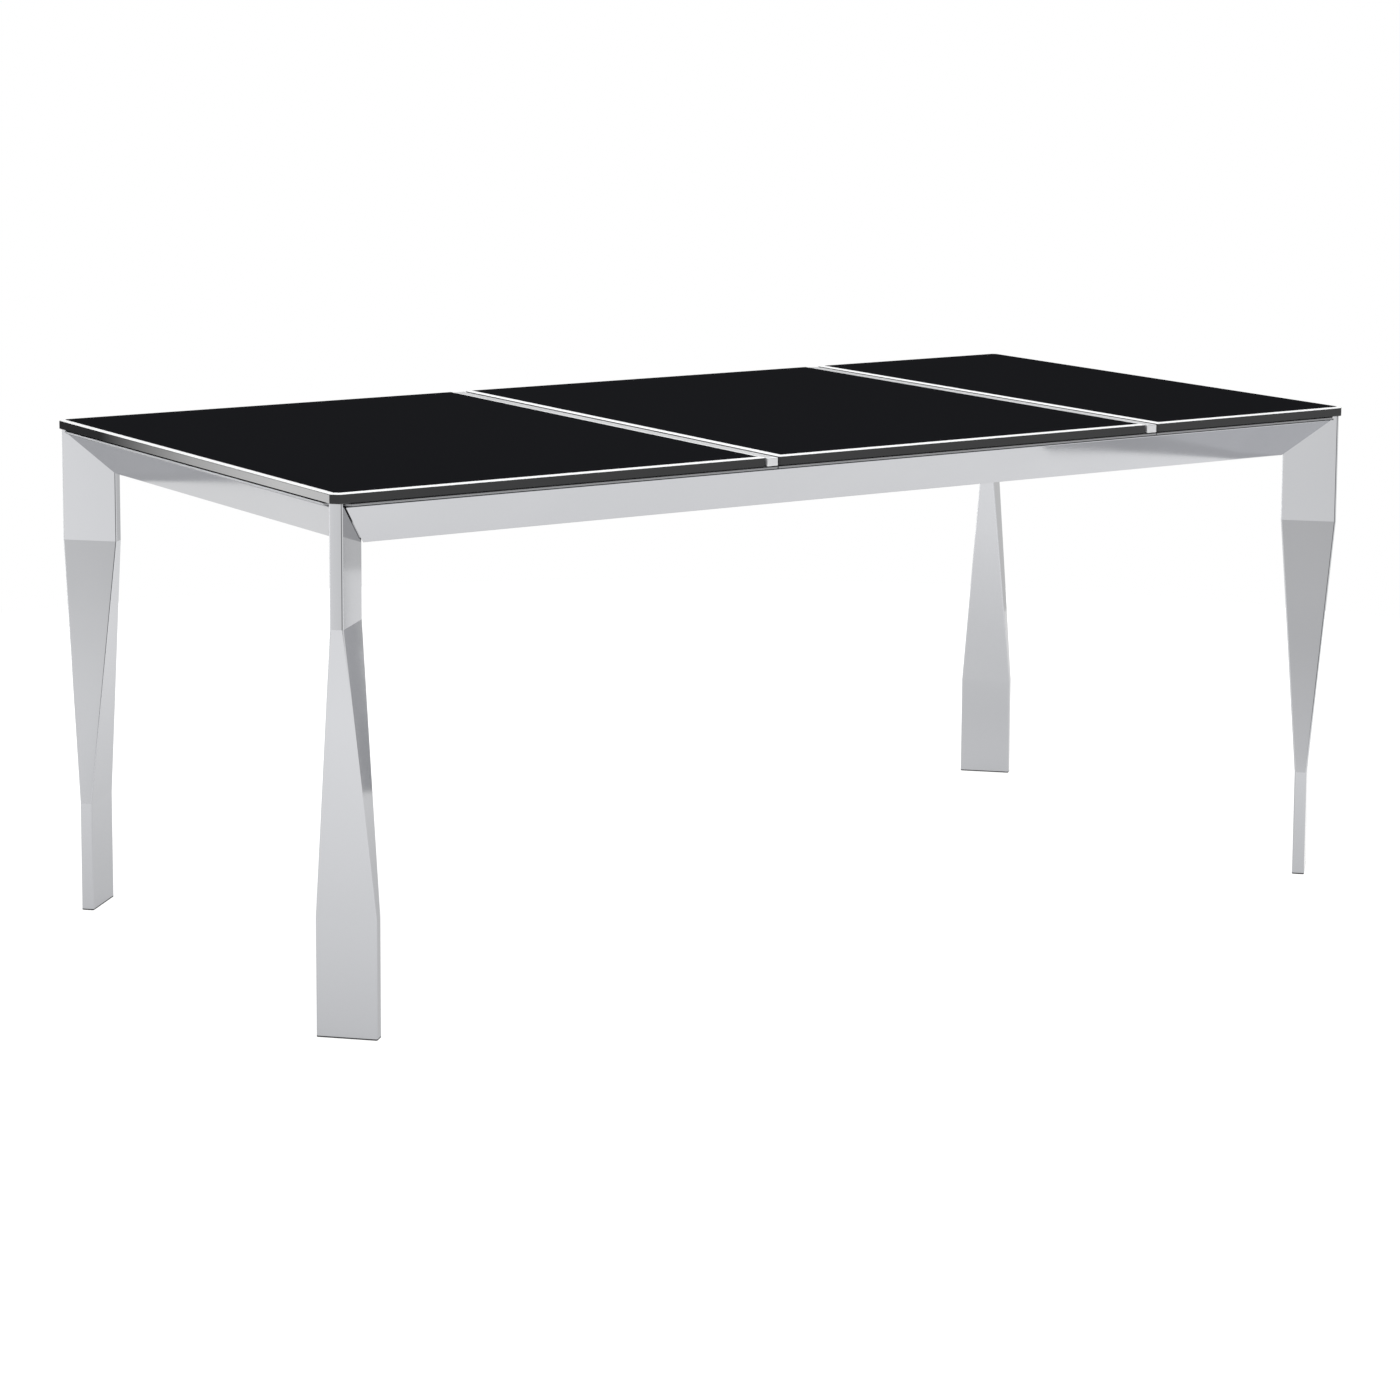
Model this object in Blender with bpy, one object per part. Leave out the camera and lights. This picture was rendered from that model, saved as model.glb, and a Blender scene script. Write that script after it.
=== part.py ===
"""Extendable dining table with a split glass top on sloping aprons and twisted corner legs.

The left legs, the long aprons and two thirds of the top are one fixed frame. The right legs, the
right apron and the last top panel are an end frame that pulls out along +X on two telescopic
slides. The extension leaf is kept under the top on two runners, turned lengthwise.

Frame: metres, +X along the table, -Y its front, +Z up, origin on the floor under the centre.
"""

import math

import bmesh
import bpy
from mathutils import Matrix, Vector

# Overall sizes.
TABLE_LENGTH = 1.80
TABLE_WIDTH = 0.90
TABLE_HEIGHT = 0.75
GAP = 0.0003  # between pieces that touch
DIAGONAL = math.sqrt(0.5)

# Glass top.
LEFT_PANEL_LENGTH = 0.70
MIDDLE_PANEL_LENGTH = 0.70
GLASS_THICKNESS = 0.014
GLASS_BEVEL_RUN = 0.008
GLASS_BEVEL_DROP = 0.0015
CORNER_CUT = 0.010  # taken off each edge at an outer corner
DIVIDER_WIDTH = 0.0185
DIVIDER_GAP = 0.0023
DIVIDER_SINK = 0.0020
BED_HEIGHT = 0.0012  # glued step of a backing plate, between its rim and the glass
BED_INSET = 0.006
PLATE_THICKNESS = 0.003
PLATE_SETBACK = 0.0006
PLATE_GAP = 0.0015
PLATE_HEAD_GAP = 0.0005  # between a plate's cut corner and a leg's head
RIM_GAP = 0.0022  # between the backing plates and the frame below them

# Legs.
LEG_INSET = 0.011  # from the square corner to the leg's outer end, along the diagonal
LEG_WIDTH = 0.086
LEG_THICKNESS = 0.019
LEG_WALL = 0.002
LEG_EDGE_RADIUS = 0.0025
LEG_EDGE_STEPS = 3
LEG_TOP_PLATE = 0.003
LEG_HEAD = 0.008  # length of the leg's outer end that reaches up to the glass
LEG_UPPER_BREAK = 0.183  # below the table's top
LEG_LOWER_BREAK = 0.166  # above the floor
GLIDE_FLANGE = 0.002
GLIDE_PLUG = 0.015
GLIDE_CLEARANCE = 0.0005

# Aprons: folded sheet, sloping inwards from the legs' outer ends to their inner ends.
APRON_DROP = 0.059
APRON_SHEET = 0.002
APRON_TOP_FLANGE = 0.014
APRON_BOTTOM_FLANGE = 0.012
APRON_END_GAP = 0.0015
APRON_WELD_GAP = 0.0003
INNER_APRON_SHEET = 0.0015
INNER_APRON_CLEARANCE = 0.0008
INNER_APRON_FLANGE = 0.008
INNER_APRON_LENGTH = 0.74
SPACER_SETBACK = 0.005
SPACER_WIDTH = 0.008

# Structure under the top.
RAIL_INSET = 0.115  # from the glass edge to the outer face of a main rail
RAIL_WIDTH = 0.020
RAIL_HEIGHT = 0.055
TUBE_WALL = 0.002
BEAM_WIDTH = 0.030
END_BEAM_WIDTH = 0.040
BEAM_PLACES = (-0.42, 0.02, 0.42)
RAIL_END_CLEARANCE = 0.008
BRACKET_TOP_DROP = 0.006
APRON_BRACKET_WIDTH = 0.030
APRON_BRACKET_PLACES = (-0.55, -0.24)
APRON_BRACKET_TOP_DROP = 0.0045
APRON_BRACKET_BOTTOM_RISE = 0.010

# Telescopic slides.
EXTENSION = 0.40
SLIDE_LENGTH = 0.60
SLIDE_START = -0.12
SLIDE_HEIGHT = 0.044
SLIDE_WALL = 0.0015
SLIDE_CLEARANCE = 0.0008
SLIDE_LIP = 0.0082
SLIDE_NEST = 0.0008
END_RAIL_WIDTH = 0.014
END_RAIL_START = -0.12

# Extension leaf.
LEAF_STORED_CENTRE = -0.02
LEAF_LOCK_CLEARANCE = 0.0012  # between the stored leaf and the locks above it
RUNNER_WIDTH = 0.025
RUNNER_THICKNESS = 0.006
RUNNER_SPREAD = 0.15
RUNNER_END_MARGIN = 0.012

# Top locks.
LOCK_RAIL_DISTANCE = 0.053  # from a main rail's inner face to a lock's pivot
LOCK_REACH = 0.045
LOCK_PIVOT_SETBACK = 0.013
LOCK_PIN_RADIUS = 0.0035
LOCK_FLANGE_RADIUS = 0.0095
LOCK_FLANGE = 0.003
LOCK_LEVER_THICKNESS = 0.005
LOCK_LEVER_HALF_WIDTH = 0.009
LOCK_CLEARANCE = 0.0009
LOCK_BORE_CLEARANCE = 0.0004
LOCK_HEAD = 0.002
LOCK_FACE_GAP = 0.0005
LOCK_WALL = 0.0045
LOCK_ENTRY = 0.0016
ROUND_STEPS = 32

# Levels, from the top down.
GLASS_BOTTOM = TABLE_HEIGHT - GLASS_THICKNESS
PLATE_TOP = GLASS_BOTTOM - BED_HEIGHT
PLATE_BOTTOM = PLATE_TOP - PLATE_THICKNESS
FRAME_TOP = PLATE_BOTTOM - RIM_GAP
APRON_BOTTOM = FRAME_TOP - APRON_DROP
RAIL_TOP = PLATE_BOTTOM - GAP
RAIL_BOTTOM = RAIL_TOP - RAIL_HEIGHT
LOCK_LEVER_TOP = RAIL_TOP - LOCK_FLANGE - LOCK_FACE_GAP
LOCK_HEAD_TOP = LOCK_LEVER_TOP - LOCK_LEVER_THICKNESS - LOCK_FACE_GAP
LOCK_BOTTOM = LOCK_HEAD_TOP - LOCK_HEAD
LEAF_GLASS_TOP = LOCK_BOTTOM - LEAF_LOCK_CLEARANCE
LEAF_PLATE_TOP = LEAF_GLASS_TOP - GLASS_THICKNESS - BED_HEIGHT
LEAF_PLATE_BOTTOM = LEAF_PLATE_TOP - PLATE_THICKNESS
RUNNER_TOP = LEAF_PLATE_BOTTOM - GAP
RUNNER_BOTTOM = RUNNER_TOP - RUNNER_THICKNESS
LOW_BEAM_TOP = RUNNER_BOTTOM - GAP

# Places along and across the table.
HALF_LENGTH = TABLE_LENGTH / 2
HALF_WIDTH = TABLE_WIDTH / 2
LEFT_SEAM = -HALF_LENGTH + LEFT_PANEL_LENGTH
RIGHT_SEAM = LEFT_SEAM + MIDDLE_PANEL_LENGTH
SEAM_HALF = DIVIDER_WIDTH / 2 + DIVIDER_GAP
APRON_INSET = LEG_INSET * DIAGONAL
APRON_RUN = (LEG_WIDTH - LEG_THICKNESS / 2) * DIAGONAL
LEG_HEAD_TOP = GLASS_BOTTOM - GAP
PLATE_CORNER_CUT = (LEG_INSET + LEG_HEAD + PLATE_HEAD_GAP) / DIAGONAL
RAIL_FACE = HALF_WIDTH - RAIL_INSET
RAIL_INNER_FACE = RAIL_FACE - RAIL_WIDTH
LEFT_BEAM_FACE = -HALF_LENGTH + RAIL_INSET
LOCK_LINE = RAIL_INNER_FACE - LOCK_RAIL_DISTANCE

# Depths of the nested slide members, outwards from the main rail's face.
OUTER_WEB = GAP
MIDDLE_WEB = OUTER_WEB + SLIDE_WALL + SLIDE_NEST
INNER_LIP_END = MIDDLE_WEB + SLIDE_WALL + SLIDE_NEST
INNER_WEB = INNER_LIP_END + SLIDE_LIP - SLIDE_WALL
END_RAIL_FACE = RAIL_FACE + INNER_WEB + SLIDE_WALL + GAP
END_RAIL_OUTER = END_RAIL_FACE + END_RAIL_WIDTH
END_BEAM_OUTER = HALF_LENGTH - (HALF_WIDTH - END_RAIL_OUTER)
END_BEAM_INNER = END_BEAM_OUTER - END_BEAM_WIDTH
MAIN_RAIL_END = END_BEAM_INNER - RAIL_END_CLEARANCE
SLIDE_LEVEL = (RAIL_TOP + RAIL_BOTTOM) / 2


def clear_scene():
    """Remove every object that the opened file holds."""
    for item in list(bpy.data.objects):
        bpy.data.objects.remove(item, do_unlink=True)


def make_material(name, colour, roughness, metallic):
    """Return a Principled material of one colour."""
    material = bpy.data.materials.new(name)
    material.use_nodes = True
    shader = material.node_tree.nodes["Principled BSDF"]
    shader.inputs["Base Color"].default_value = (*colour, 1.0)
    shader.inputs["Roughness"].default_value = roughness
    shader.inputs["Metallic"].default_value = metallic
    return material


def make_materials():
    """Return the table's materials by name."""
    return {
        "black_glass": make_material("black_glass", (0.012, 0.012, 0.013), 0.08, 0.0),
        "polished_steel": make_material("polished_steel", (0.60, 0.61, 0.63), 0.10, 1.0),
        "rim_aluminium": make_material("rim_aluminium", (0.45, 0.46, 0.48), 0.40, 1.0),
        "divider_aluminium": make_material("divider_aluminium", (0.80, 0.81, 0.83), 0.25, 1.0),
        "frame_steel": make_material("frame_steel", (0.06, 0.06, 0.065), 0.55, 0.0),
        "slide_steel": make_material("slide_steel", (0.55, 0.56, 0.58), 0.35, 1.0),
        "black_plastic": make_material("black_plastic", (0.02, 0.02, 0.02), 0.60, 0.0),
    }


def finish_object(name, bm, material, location=(0, 0, 0), turn=0.0):
    """Turn a closed bmesh into a named object placed in the scene."""
    bmesh.ops.recalc_face_normals(bm, faces=bm.faces[:])
    mesh = bpy.data.meshes.new(name)
    bm.to_mesh(mesh)
    bm.free()
    mesh.materials.append(material)
    item = bpy.data.objects.new(name, mesh)
    item.location = location
    item.rotation_euler = (0, 0, turn)
    bpy.context.scene.collection.objects.link(item)
    return item


def add_rings(bm, rings):
    """Join rings of equal length into a closed skin, capped at its first and last ring."""
    loops = [[bm.verts.new(point) for point in ring] for ring in rings]
    count = len(loops[0])
    for lower, upper in zip(loops, loops[1:]):
        for i in range(count):
            j = (i + 1) % count
            bm.faces.new((lower[i], lower[j], upper[j], upper[i]))
    bm.faces.new(loops[0])
    bm.faces.new(loops[-1])


def add_box(name, low, high, material, origin=(0, 0, 0)):
    """Make a solid box between two world corners, with its origin at a world point."""
    bm = bmesh.new()
    low, high, origin = Vector(low), Vector(high), Vector(origin)
    bmesh.ops.create_cube(bm, size=1.0)
    size = Matrix.Diagonal((*(high - low), 1.0))
    bmesh.ops.transform(bm, matrix=Matrix.Translation((low + high) / 2 - origin) @ size, verts=bm.verts[:])
    return finish_object(name, bm, material, origin)


def add_plan_prism(name, outline, bottom, top, material, origin=(0, 0, 0)):
    """Make a vertical prism from a plan outline of (x, y) points."""
    bm = bmesh.new()
    rings = [[Vector((x, y, z)) - Vector(origin) for x, y in outline] for z in (bottom, top)]
    add_rings(bm, rings)
    return finish_object(name, bm, material, origin)


def add_length_prism(name, outline, start, end, material, origin=(0, 0, 0)):
    """Make a prism along X from a cross-section of (y, z) points."""
    bm = bmesh.new()
    rings = [[Vector((x, y, z)) - Vector(origin) for y, z in outline] for x in (start, end)]
    add_rings(bm, rings)
    return finish_object(name, bm, material, origin)


def add_tube(name, low, high, axis, material):
    """Make a rectangular tube open at both ends, along X (axis 0) or Y (axis 1)."""
    bm = bmesh.new()
    low, high = Vector(low), Vector(high)
    across = [i for i in range(3) if i != axis]
    rings = []
    for inset, end in ((0.0, low), (0.0, high), (TUBE_WALL, high), (TUBE_WALL, low)):
        a, b = across
        ring = []
        for first, second in ((0, 0), (1, 0), (1, 1), (0, 1)):
            point = Vector((0, 0, 0))
            point[axis] = end[axis]
            point[a] = high[a] - inset if first else low[a] + inset
            point[b] = high[b] - inset if second else low[b] + inset
            ring.append(point)
        rings.append([bm.verts.new(point) for point in ring])
    for here, there in zip(rings, rings[1:] + rings[:1]):
        for i in range(4):
            j = (i + 1) % 4
            bm.faces.new((here[i], here[j], there[j], there[i]))
    return finish_object(name, bm, material)


def add_turned(name, profile, centre, material):
    """Spin a profile of (radius, z) points about a vertical axis through centre."""
    bm = bmesh.new()
    rings = []
    for radius, level in profile:
        angles = [2 * math.pi * step / ROUND_STEPS for step in range(ROUND_STEPS)]
        rings.append([(radius * math.cos(a), radius * math.sin(a), level) for a in angles])
    add_rings(bm, rings)
    item = finish_object(name, bm, material, (centre[0], centre[1], 0.0))
    return item


def rounded_rectangle(length, width, radius, level):
    """Return the points of a rectangle with round corners, centred on the local origin."""
    points = []
    for corner, (sx, sy) in enumerate(((1, 1), (-1, 1), (-1, -1), (1, -1))):
        for step in range(LEG_EDGE_STEPS + 1):
            angle = (corner + step / LEG_EDGE_STEPS) * math.pi / 2
            x = sx * (length / 2 - radius) + radius * math.cos(angle)
            y = sy * (width / 2 - radius) + radius * math.sin(angle)
            points.append((x, y, level))
    return points


def top_outline(start, end, cut_left, cut_right, cut=CORNER_CUT):
    """Return a top panel's plan outline, with its outer corners cut where asked."""
    outline = []
    if cut_left:
        outline += [(start, -HALF_WIDTH + cut), (start + cut, -HALF_WIDTH)]
    else:
        outline += [(start, -HALF_WIDTH)]
    if cut_right:
        outline += [(end - cut, -HALF_WIDTH), (end, -HALF_WIDTH + cut)]
        outline += [(end, HALF_WIDTH - cut), (end - cut, HALF_WIDTH)]
    else:
        outline += [(end, -HALF_WIDTH), (end, HALF_WIDTH)]
    if cut_left:
        outline += [(start + cut, HALF_WIDTH), (start, HALF_WIDTH - cut)]
    else:
        outline += [(start, HALF_WIDTH)]
    return outline


def add_glass(name, outline, top_level, material, origin=(0, 0, 0), turn=False):
    """Make a glass panel from its plan outline, with a polished bevel round its top.

    With turn set, the outline is turned a quarter turn about its own origin first.
    """
    edge = top_level - GLASS_BEVEL_DROP
    bottom = top_level - GLASS_THICKNESS
    bm = bmesh.new()
    corners = [(-y, x) if turn else (x, y) for x, y in outline]
    base = bm.faces.new([bm.verts.new((x, y, bottom)) for x, y in corners])
    sides = bmesh.ops.extrude_face_region(bm, geom=[base])["geom"]
    raised = [item for item in sides if isinstance(item, bmesh.types.BMVert)]
    bmesh.ops.translate(bm, verts=raised, vec=(0, 0, edge - bottom))
    top = [item for item in sides if isinstance(item, bmesh.types.BMFace)]
    bmesh.ops.recalc_face_normals(bm, faces=bm.faces[:])
    bmesh.ops.inset_region(bm, faces=top, thickness=GLASS_BEVEL_RUN, use_even_offset=True)
    bmesh.ops.translate(bm, verts=top[0].verts[:], vec=(0, 0, GLASS_BEVEL_DROP))
    return finish_object(name, bm, material, origin)


def add_plate(name, outline, top_level, material, origin=(0, 0, 0), turn=False):
    """Make a backing plate: a thin rim with a raised bed that the glass is glued to."""
    bm = bmesh.new()
    corners = [(-y, x) if turn else (x, y) for x, y in outline]
    base = bm.faces.new([bm.verts.new((x, y, top_level - PLATE_THICKNESS)) for x, y in corners])
    sides = bmesh.ops.extrude_face_region(bm, geom=[base])["geom"]
    raised = [item for item in sides if isinstance(item, bmesh.types.BMVert)]
    bmesh.ops.translate(bm, verts=raised, vec=(0, 0, PLATE_THICKNESS))
    top = [item for item in sides if isinstance(item, bmesh.types.BMFace)]
    bmesh.ops.recalc_face_normals(bm, faces=bm.faces[:])
    bmesh.ops.inset_region(bm, faces=top, thickness=BED_INSET, use_even_offset=True)
    bed = bmesh.ops.extrude_discrete_faces(bm, faces=top)["faces"]
    bmesh.ops.translate(bm, verts=bed[0].verts[:], vec=(0, 0, BED_HEIGHT - GAP))
    return finish_object(name, bm, material, origin)


def add_divider(name, centre, bottom, top, material):
    """Make an aluminium bar that closes a seam of the top from front to back."""
    half = DIVIDER_WIDTH / 2
    low = (centre - half, -HALF_WIDTH, bottom)
    high = (centre + half, HALF_WIDTH, top)
    return add_box(name, low, high, material)


def build_top(materials):
    """Build the three glass panels, their backing plates and the two dividers."""
    glass, rim, bar = (materials[key] for key in ("black_glass", "rim_aluminium", "divider_aluminium"))
    spans = {
        "left": (-HALF_LENGTH, LEFT_SEAM - SEAM_HALF, True, False),
        "middle": (LEFT_SEAM + SEAM_HALF, RIGHT_SEAM - SEAM_HALF, False, False),
        "end": (RIGHT_SEAM + SEAM_HALF, HALF_LENGTH, False, True),
    }
    for key, span in spans.items():
        add_glass("glass_panel_" + key, top_outline(*span), TABLE_HEIGHT, glass)
    left_plate_end = LEFT_SEAM + DIVIDER_WIDTH / 2
    middle_plate_end = RIGHT_SEAM + DIVIDER_WIDTH / 2
    plates = {
        "left": (-HALF_LENGTH, left_plate_end, True, False),
        "middle": (left_plate_end + PLATE_GAP, middle_plate_end, False, False),
        "end": (middle_plate_end + PLATE_GAP, HALF_LENGTH, False, True),
    }
    for key, span in plates.items():
        outline = set_back(top_outline(*span, PLATE_CORNER_CUT))
        add_plate("backing_plate_" + key, outline, PLATE_TOP, rim)
    divider_top = TABLE_HEIGHT - DIVIDER_SINK
    add_divider("divider_bar_left", LEFT_SEAM, GLASS_BOTTOM, divider_top, bar)
    add_divider("divider_bar_right", RIGHT_SEAM, GLASS_BOTTOM, divider_top, bar)


def set_back(outline):
    """Pull an outline's outer edges in by the plates' setback; seam edges stay."""
    x_limit = HALF_LENGTH - PLATE_SETBACK
    y_limit = HALF_WIDTH - PLATE_SETBACK
    shrink = []
    for x, y in outline:
        shrink.append((max(-x_limit, min(x_limit, x)), max(-y_limit, min(y_limit, y))))
    return shrink


def leg_frame(side_x, side_y):
    """Return a leg's centre in plan and its turn, with local +X towards the corner."""
    centre = (LEG_INSET + LEG_WIDTH / 2) * DIAGONAL
    place = (side_x * (HALF_LENGTH - centre), side_y * (HALF_WIDTH - centre), 0.0)
    return place, math.atan2(side_y, side_x)


def build_leg(name, side_x, side_y, materials):
    """Build one hollow leg: a slab on the diagonal that turns to a foot across it, with its glide."""
    upper = TABLE_HEIGHT - LEG_UPPER_BREAK
    radius, wall = LEG_EDGE_RADIUS, LEG_WALL
    bare = LEG_EDGE_RADIUS / 2

    def slab(inset, corner, level):
        return rounded_rectangle(LEG_WIDTH - 2 * inset, LEG_THICKNESS - 2 * inset, corner, level)

    def foot(inset, corner, level):
        return rounded_rectangle(LEG_THICKNESS - 2 * inset, LEG_WIDTH - 2 * inset, corner, level)

    rings = [
        slab(wall, bare, FRAME_TOP - LEG_TOP_PLATE),
        slab(wall, bare, upper),
        foot(wall, bare, LEG_LOWER_BREAK),
        foot(wall, bare, GLIDE_FLANGE),
        foot(0.0, radius, GLIDE_FLANGE),
        foot(0.0, radius, LEG_LOWER_BREAK),
        slab(0.0, radius, upper),
        slab(0.0, radius, LEG_HEAD_TOP),
    ]
    place, turn = leg_frame(side_x, side_y)
    bm = bmesh.new()
    add_rings(bm, rings)
    leg = finish_object("leg_" + name, bm, materials["polished_steel"], place, turn)
    bm = bmesh.new()
    behind = rounded_rectangle(LEG_WIDTH, 2 * LEG_THICKNESS, bare, FRAME_TOP)
    above = rounded_rectangle(LEG_WIDTH, 2 * LEG_THICKNESS, bare, TABLE_HEIGHT)
    add_rings(bm, [[(x - LEG_HEAD, y, z) for x, y, z in ring] for ring in (behind, above)])
    cut_away(leg, finish_object("guide_head_" + name, bm, materials["polished_steel"], place, turn))

    plug = wall + GLIDE_CLEARANCE
    seat = GLIDE_FLANGE - GAP
    glide = [
        foot(0.0, radius, 0.0),
        foot(0.0, radius, seat),
        foot(plug, bare, seat),
        foot(plug, bare, GLIDE_FLANGE + GLIDE_PLUG),
    ]
    bm = bmesh.new()
    add_rings(bm, glide)
    finish_object("glide_" + name, bm, materials["black_plastic"], place, turn)


def edge_point(side, inset, along, level):
    """Return the world point at an inset from one side of the table."""
    if side == "front":
        return (along, -HALF_WIDTH + inset, level)
    if side == "back":
        return (along, HALF_WIDTH - inset, level)
    if side == "left":
        return (-HALF_LENGTH + inset, along, level)
    return (HALF_LENGTH - inset, along, level)


def apron_profile(start, drop_top, drop_bottom, sheet, top_flange, bottom_flange):
    """Return a folded sheet's section as (inset, level) points, sloping with the legs' ends.

    The outer face lies start further in than the aprons' shared slope.
    """
    slope = APRON_RUN / APRON_DROP
    through = sheet * math.hypot(APRON_RUN, APRON_DROP) / APRON_DROP

    def outer(drop):
        return APRON_INSET + start + slope * drop

    top, bottom = FRAME_TOP - drop_top, FRAME_TOP - drop_bottom
    profile = [(outer(drop_top), top), (outer(drop_bottom), bottom)]
    if bottom_flange:
        profile.append((outer(drop_bottom) + bottom_flange, bottom))
        profile.append((outer(drop_bottom) + bottom_flange, bottom + sheet))
        profile.append((outer(drop_bottom - sheet) + through, bottom + sheet))
    else:
        profile.append((outer(drop_bottom) + through, bottom))
    profile.append((outer(drop_top + sheet) + through, top - sheet))
    profile.append((outer(drop_top) + top_flange, top - sheet))
    profile.append((outer(drop_top) + top_flange, top))
    return profile


def add_apron(name, side, profile, start_gap, end_gap, material, start_at=None):
    """Run a section along one side, its ends cut parallel to the legs' faces.

    start_gap and end_gap are the clear gaps to the leg faces; start_at gives a square end instead.
    """
    half = HALF_LENGTH if side in ("front", "back") else HALF_WIDTH
    across = 1 / DIAGONAL
    first, last = [], []
    for inset, level in profile:
        begin = -half + inset + (LEG_THICKNESS / 2 + start_gap) * across
        if start_at is not None:
            begin = start_at
        end = half - inset - (LEG_THICKNESS / 2 + end_gap) * across
        first.append(edge_point(side, inset, begin, level))
        last.append(edge_point(side, inset, end, level))
    bm = bmesh.new()
    add_rings(bm, [first, last])
    return finish_object(name, bm, material)


def build_aprons(materials):
    """Build the fixed long aprons, both end aprons and the inner aprons that fill the opened sides."""
    steel = materials["polished_steel"]
    profile = apron_profile(
        0.0, 0.0, APRON_DROP, APRON_SHEET, APRON_TOP_FLANGE, APRON_BOTTOM_FLANGE)
    for side in ("front", "back"):
        add_apron("apron_" + side, side, profile, APRON_END_GAP, APRON_END_GAP, steel)
    for side in ("left", "right"):
        add_apron("apron_" + side, side, profile, APRON_WELD_GAP, APRON_WELD_GAP, steel)
    slant = math.hypot(APRON_RUN, APRON_DROP) / APRON_DROP
    behind = (APRON_SHEET + INNER_APRON_CLEARANCE) * slant
    cover = APRON_SHEET + INNER_APRON_CLEARANCE
    inner = apron_profile(
        behind, cover, APRON_DROP - cover, INNER_APRON_SHEET, INNER_APRON_FLANGE, 0.0)
    begin = HALF_LENGTH - APRON_INSET - INNER_APRON_LENGTH
    for side in ("front", "back"):
        add_apron("inner_apron_" + side, side, inner, 0.0, APRON_WELD_GAP, steel, begin)


def build_spacers(materials):
    """Build the strips that carry the backing plates on the fixed aprons' top flanges."""
    low, high = FRAME_TOP + GAP, PLATE_BOTTOM - GAP
    inset = APRON_INSET + SPACER_SETBACK
    reach = LEG_THICKNESS / DIAGONAL + inset + SPACER_WIDTH
    for side, sign in (("front", -1), ("back", 1)):
        outer, inner = sign * (HALF_WIDTH - inset), sign * (HALF_WIDTH - inset - SPACER_WIDTH)
        corners = ((-HALF_LENGTH + reach, min(outer, inner), low),
                   (RIGHT_SEAM - SEAM_HALF, max(outer, inner), high))
        add_box("spacer_strip_" + side, *corners, materials["black_plastic"])
    left = (-HALF_LENGTH + inset, -HALF_WIDTH + reach, low)
    right = (-HALF_LENGTH + inset + SPACER_WIDTH, HALF_WIDTH - reach, high)
    add_box("spacer_strip_left", left, right, materials["black_plastic"])


def build_main_structure(materials):
    """Build the fixed rails and beams, the leaf's runners and the brackets to the long aprons."""
    steel = materials["frame_steel"]
    for side, sign in (("front", -1), ("back", 1)):
        faces = sorted((sign * RAIL_INNER_FACE, sign * RAIL_FACE))
        low = (LEFT_BEAM_FACE, faces[0], RAIL_BOTTOM)
        high = (MAIN_RAIL_END, faces[1], RAIL_TOP)
        add_tube("main_rail_" + side, low, high, 0, steel)
        runner = sorted((sign * (RUNNER_SPREAD - RUNNER_WIDTH / 2), sign * (RUNNER_SPREAD + RUNNER_WIDTH / 2)))
        start = LEAF_STORED_CENTRE - TABLE_WIDTH / 2 - RUNNER_END_MARGIN
        end = MAIN_RAIL_END - GAP
        low, high = (start, runner[0], RUNNER_BOTTOM), (end, runner[1], RUNNER_TOP)
        add_box("leaf_runner_" + side, low, high, steel)
        for number, place in enumerate(APRON_BRACKET_PLACES, 1):
            add_apron_bracket("apron_bracket_%s_%d" % (side, number), sign, place, steel)
    reach = RAIL_INNER_FACE - GAP
    low = (LEFT_BEAM_FACE, -reach, RAIL_BOTTOM)
    high = (LEFT_BEAM_FACE + BEAM_WIDTH, reach, RAIL_TOP)
    add_tube("left_end_beam", low, high, 1, steel)
    for number, place in enumerate(BEAM_PLACES, 1):
        low = (place - BEAM_WIDTH / 2, -reach, RAIL_BOTTOM)
        high = (place + BEAM_WIDTH / 2, reach, LOW_BEAM_TOP)
        add_tube("cross_beam_%d" % number, low, high, 1, steel)


def add_apron_bracket(name, sign, place, material):
    """Make a block from a main rail's outer face to the sloping inside of a long apron."""
    slant = math.hypot(APRON_RUN, APRON_DROP) / APRON_DROP
    top = FRAME_TOP - APRON_BRACKET_TOP_DROP
    bottom = APRON_BOTTOM + APRON_BRACKET_BOTTOM_RISE
    outline = [(sign * (RAIL_FACE + GAP), bottom), (sign * (RAIL_FACE + GAP), top)]
    for level in (top, bottom):
        inset = APRON_INSET + (FRAME_TOP - level) * APRON_RUN / APRON_DROP + (APRON_SHEET + GAP) * slant
        outline.append((sign * (HALF_WIDTH - inset), level))
    half = APRON_BRACKET_WIDTH / 2
    return add_length_prism(name, outline, place - half, place + half, material)


def add_leg_bracket(name, side_x, side_y, frame_corner, material):
    """Make the block that joins a leg's inner end to the corner of the frame behind it.

    frame_corner is the frame's outer corner as its distance from both glass edges.
    """
    start = LEG_INSET + LEG_WIDTH + GAP
    notch = frame_corner / DIAGONAL - GAP / DIAGONAL
    half = LEG_THICKNESS / 2
    outline = []
    for depth, across in ((start, -half), (start, half), (notch + half, half), (notch, 0), (notch + half, -half)):
        x = side_x * (HALF_LENGTH - (depth + across) * DIAGONAL)
        y = side_y * (HALF_WIDTH - (depth - across) * DIAGONAL)
        outline.append((x, y))
    return add_plan_prism(name, outline, RAIL_BOTTOM, RAIL_TOP - BRACKET_TOP_DROP, material)


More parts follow.
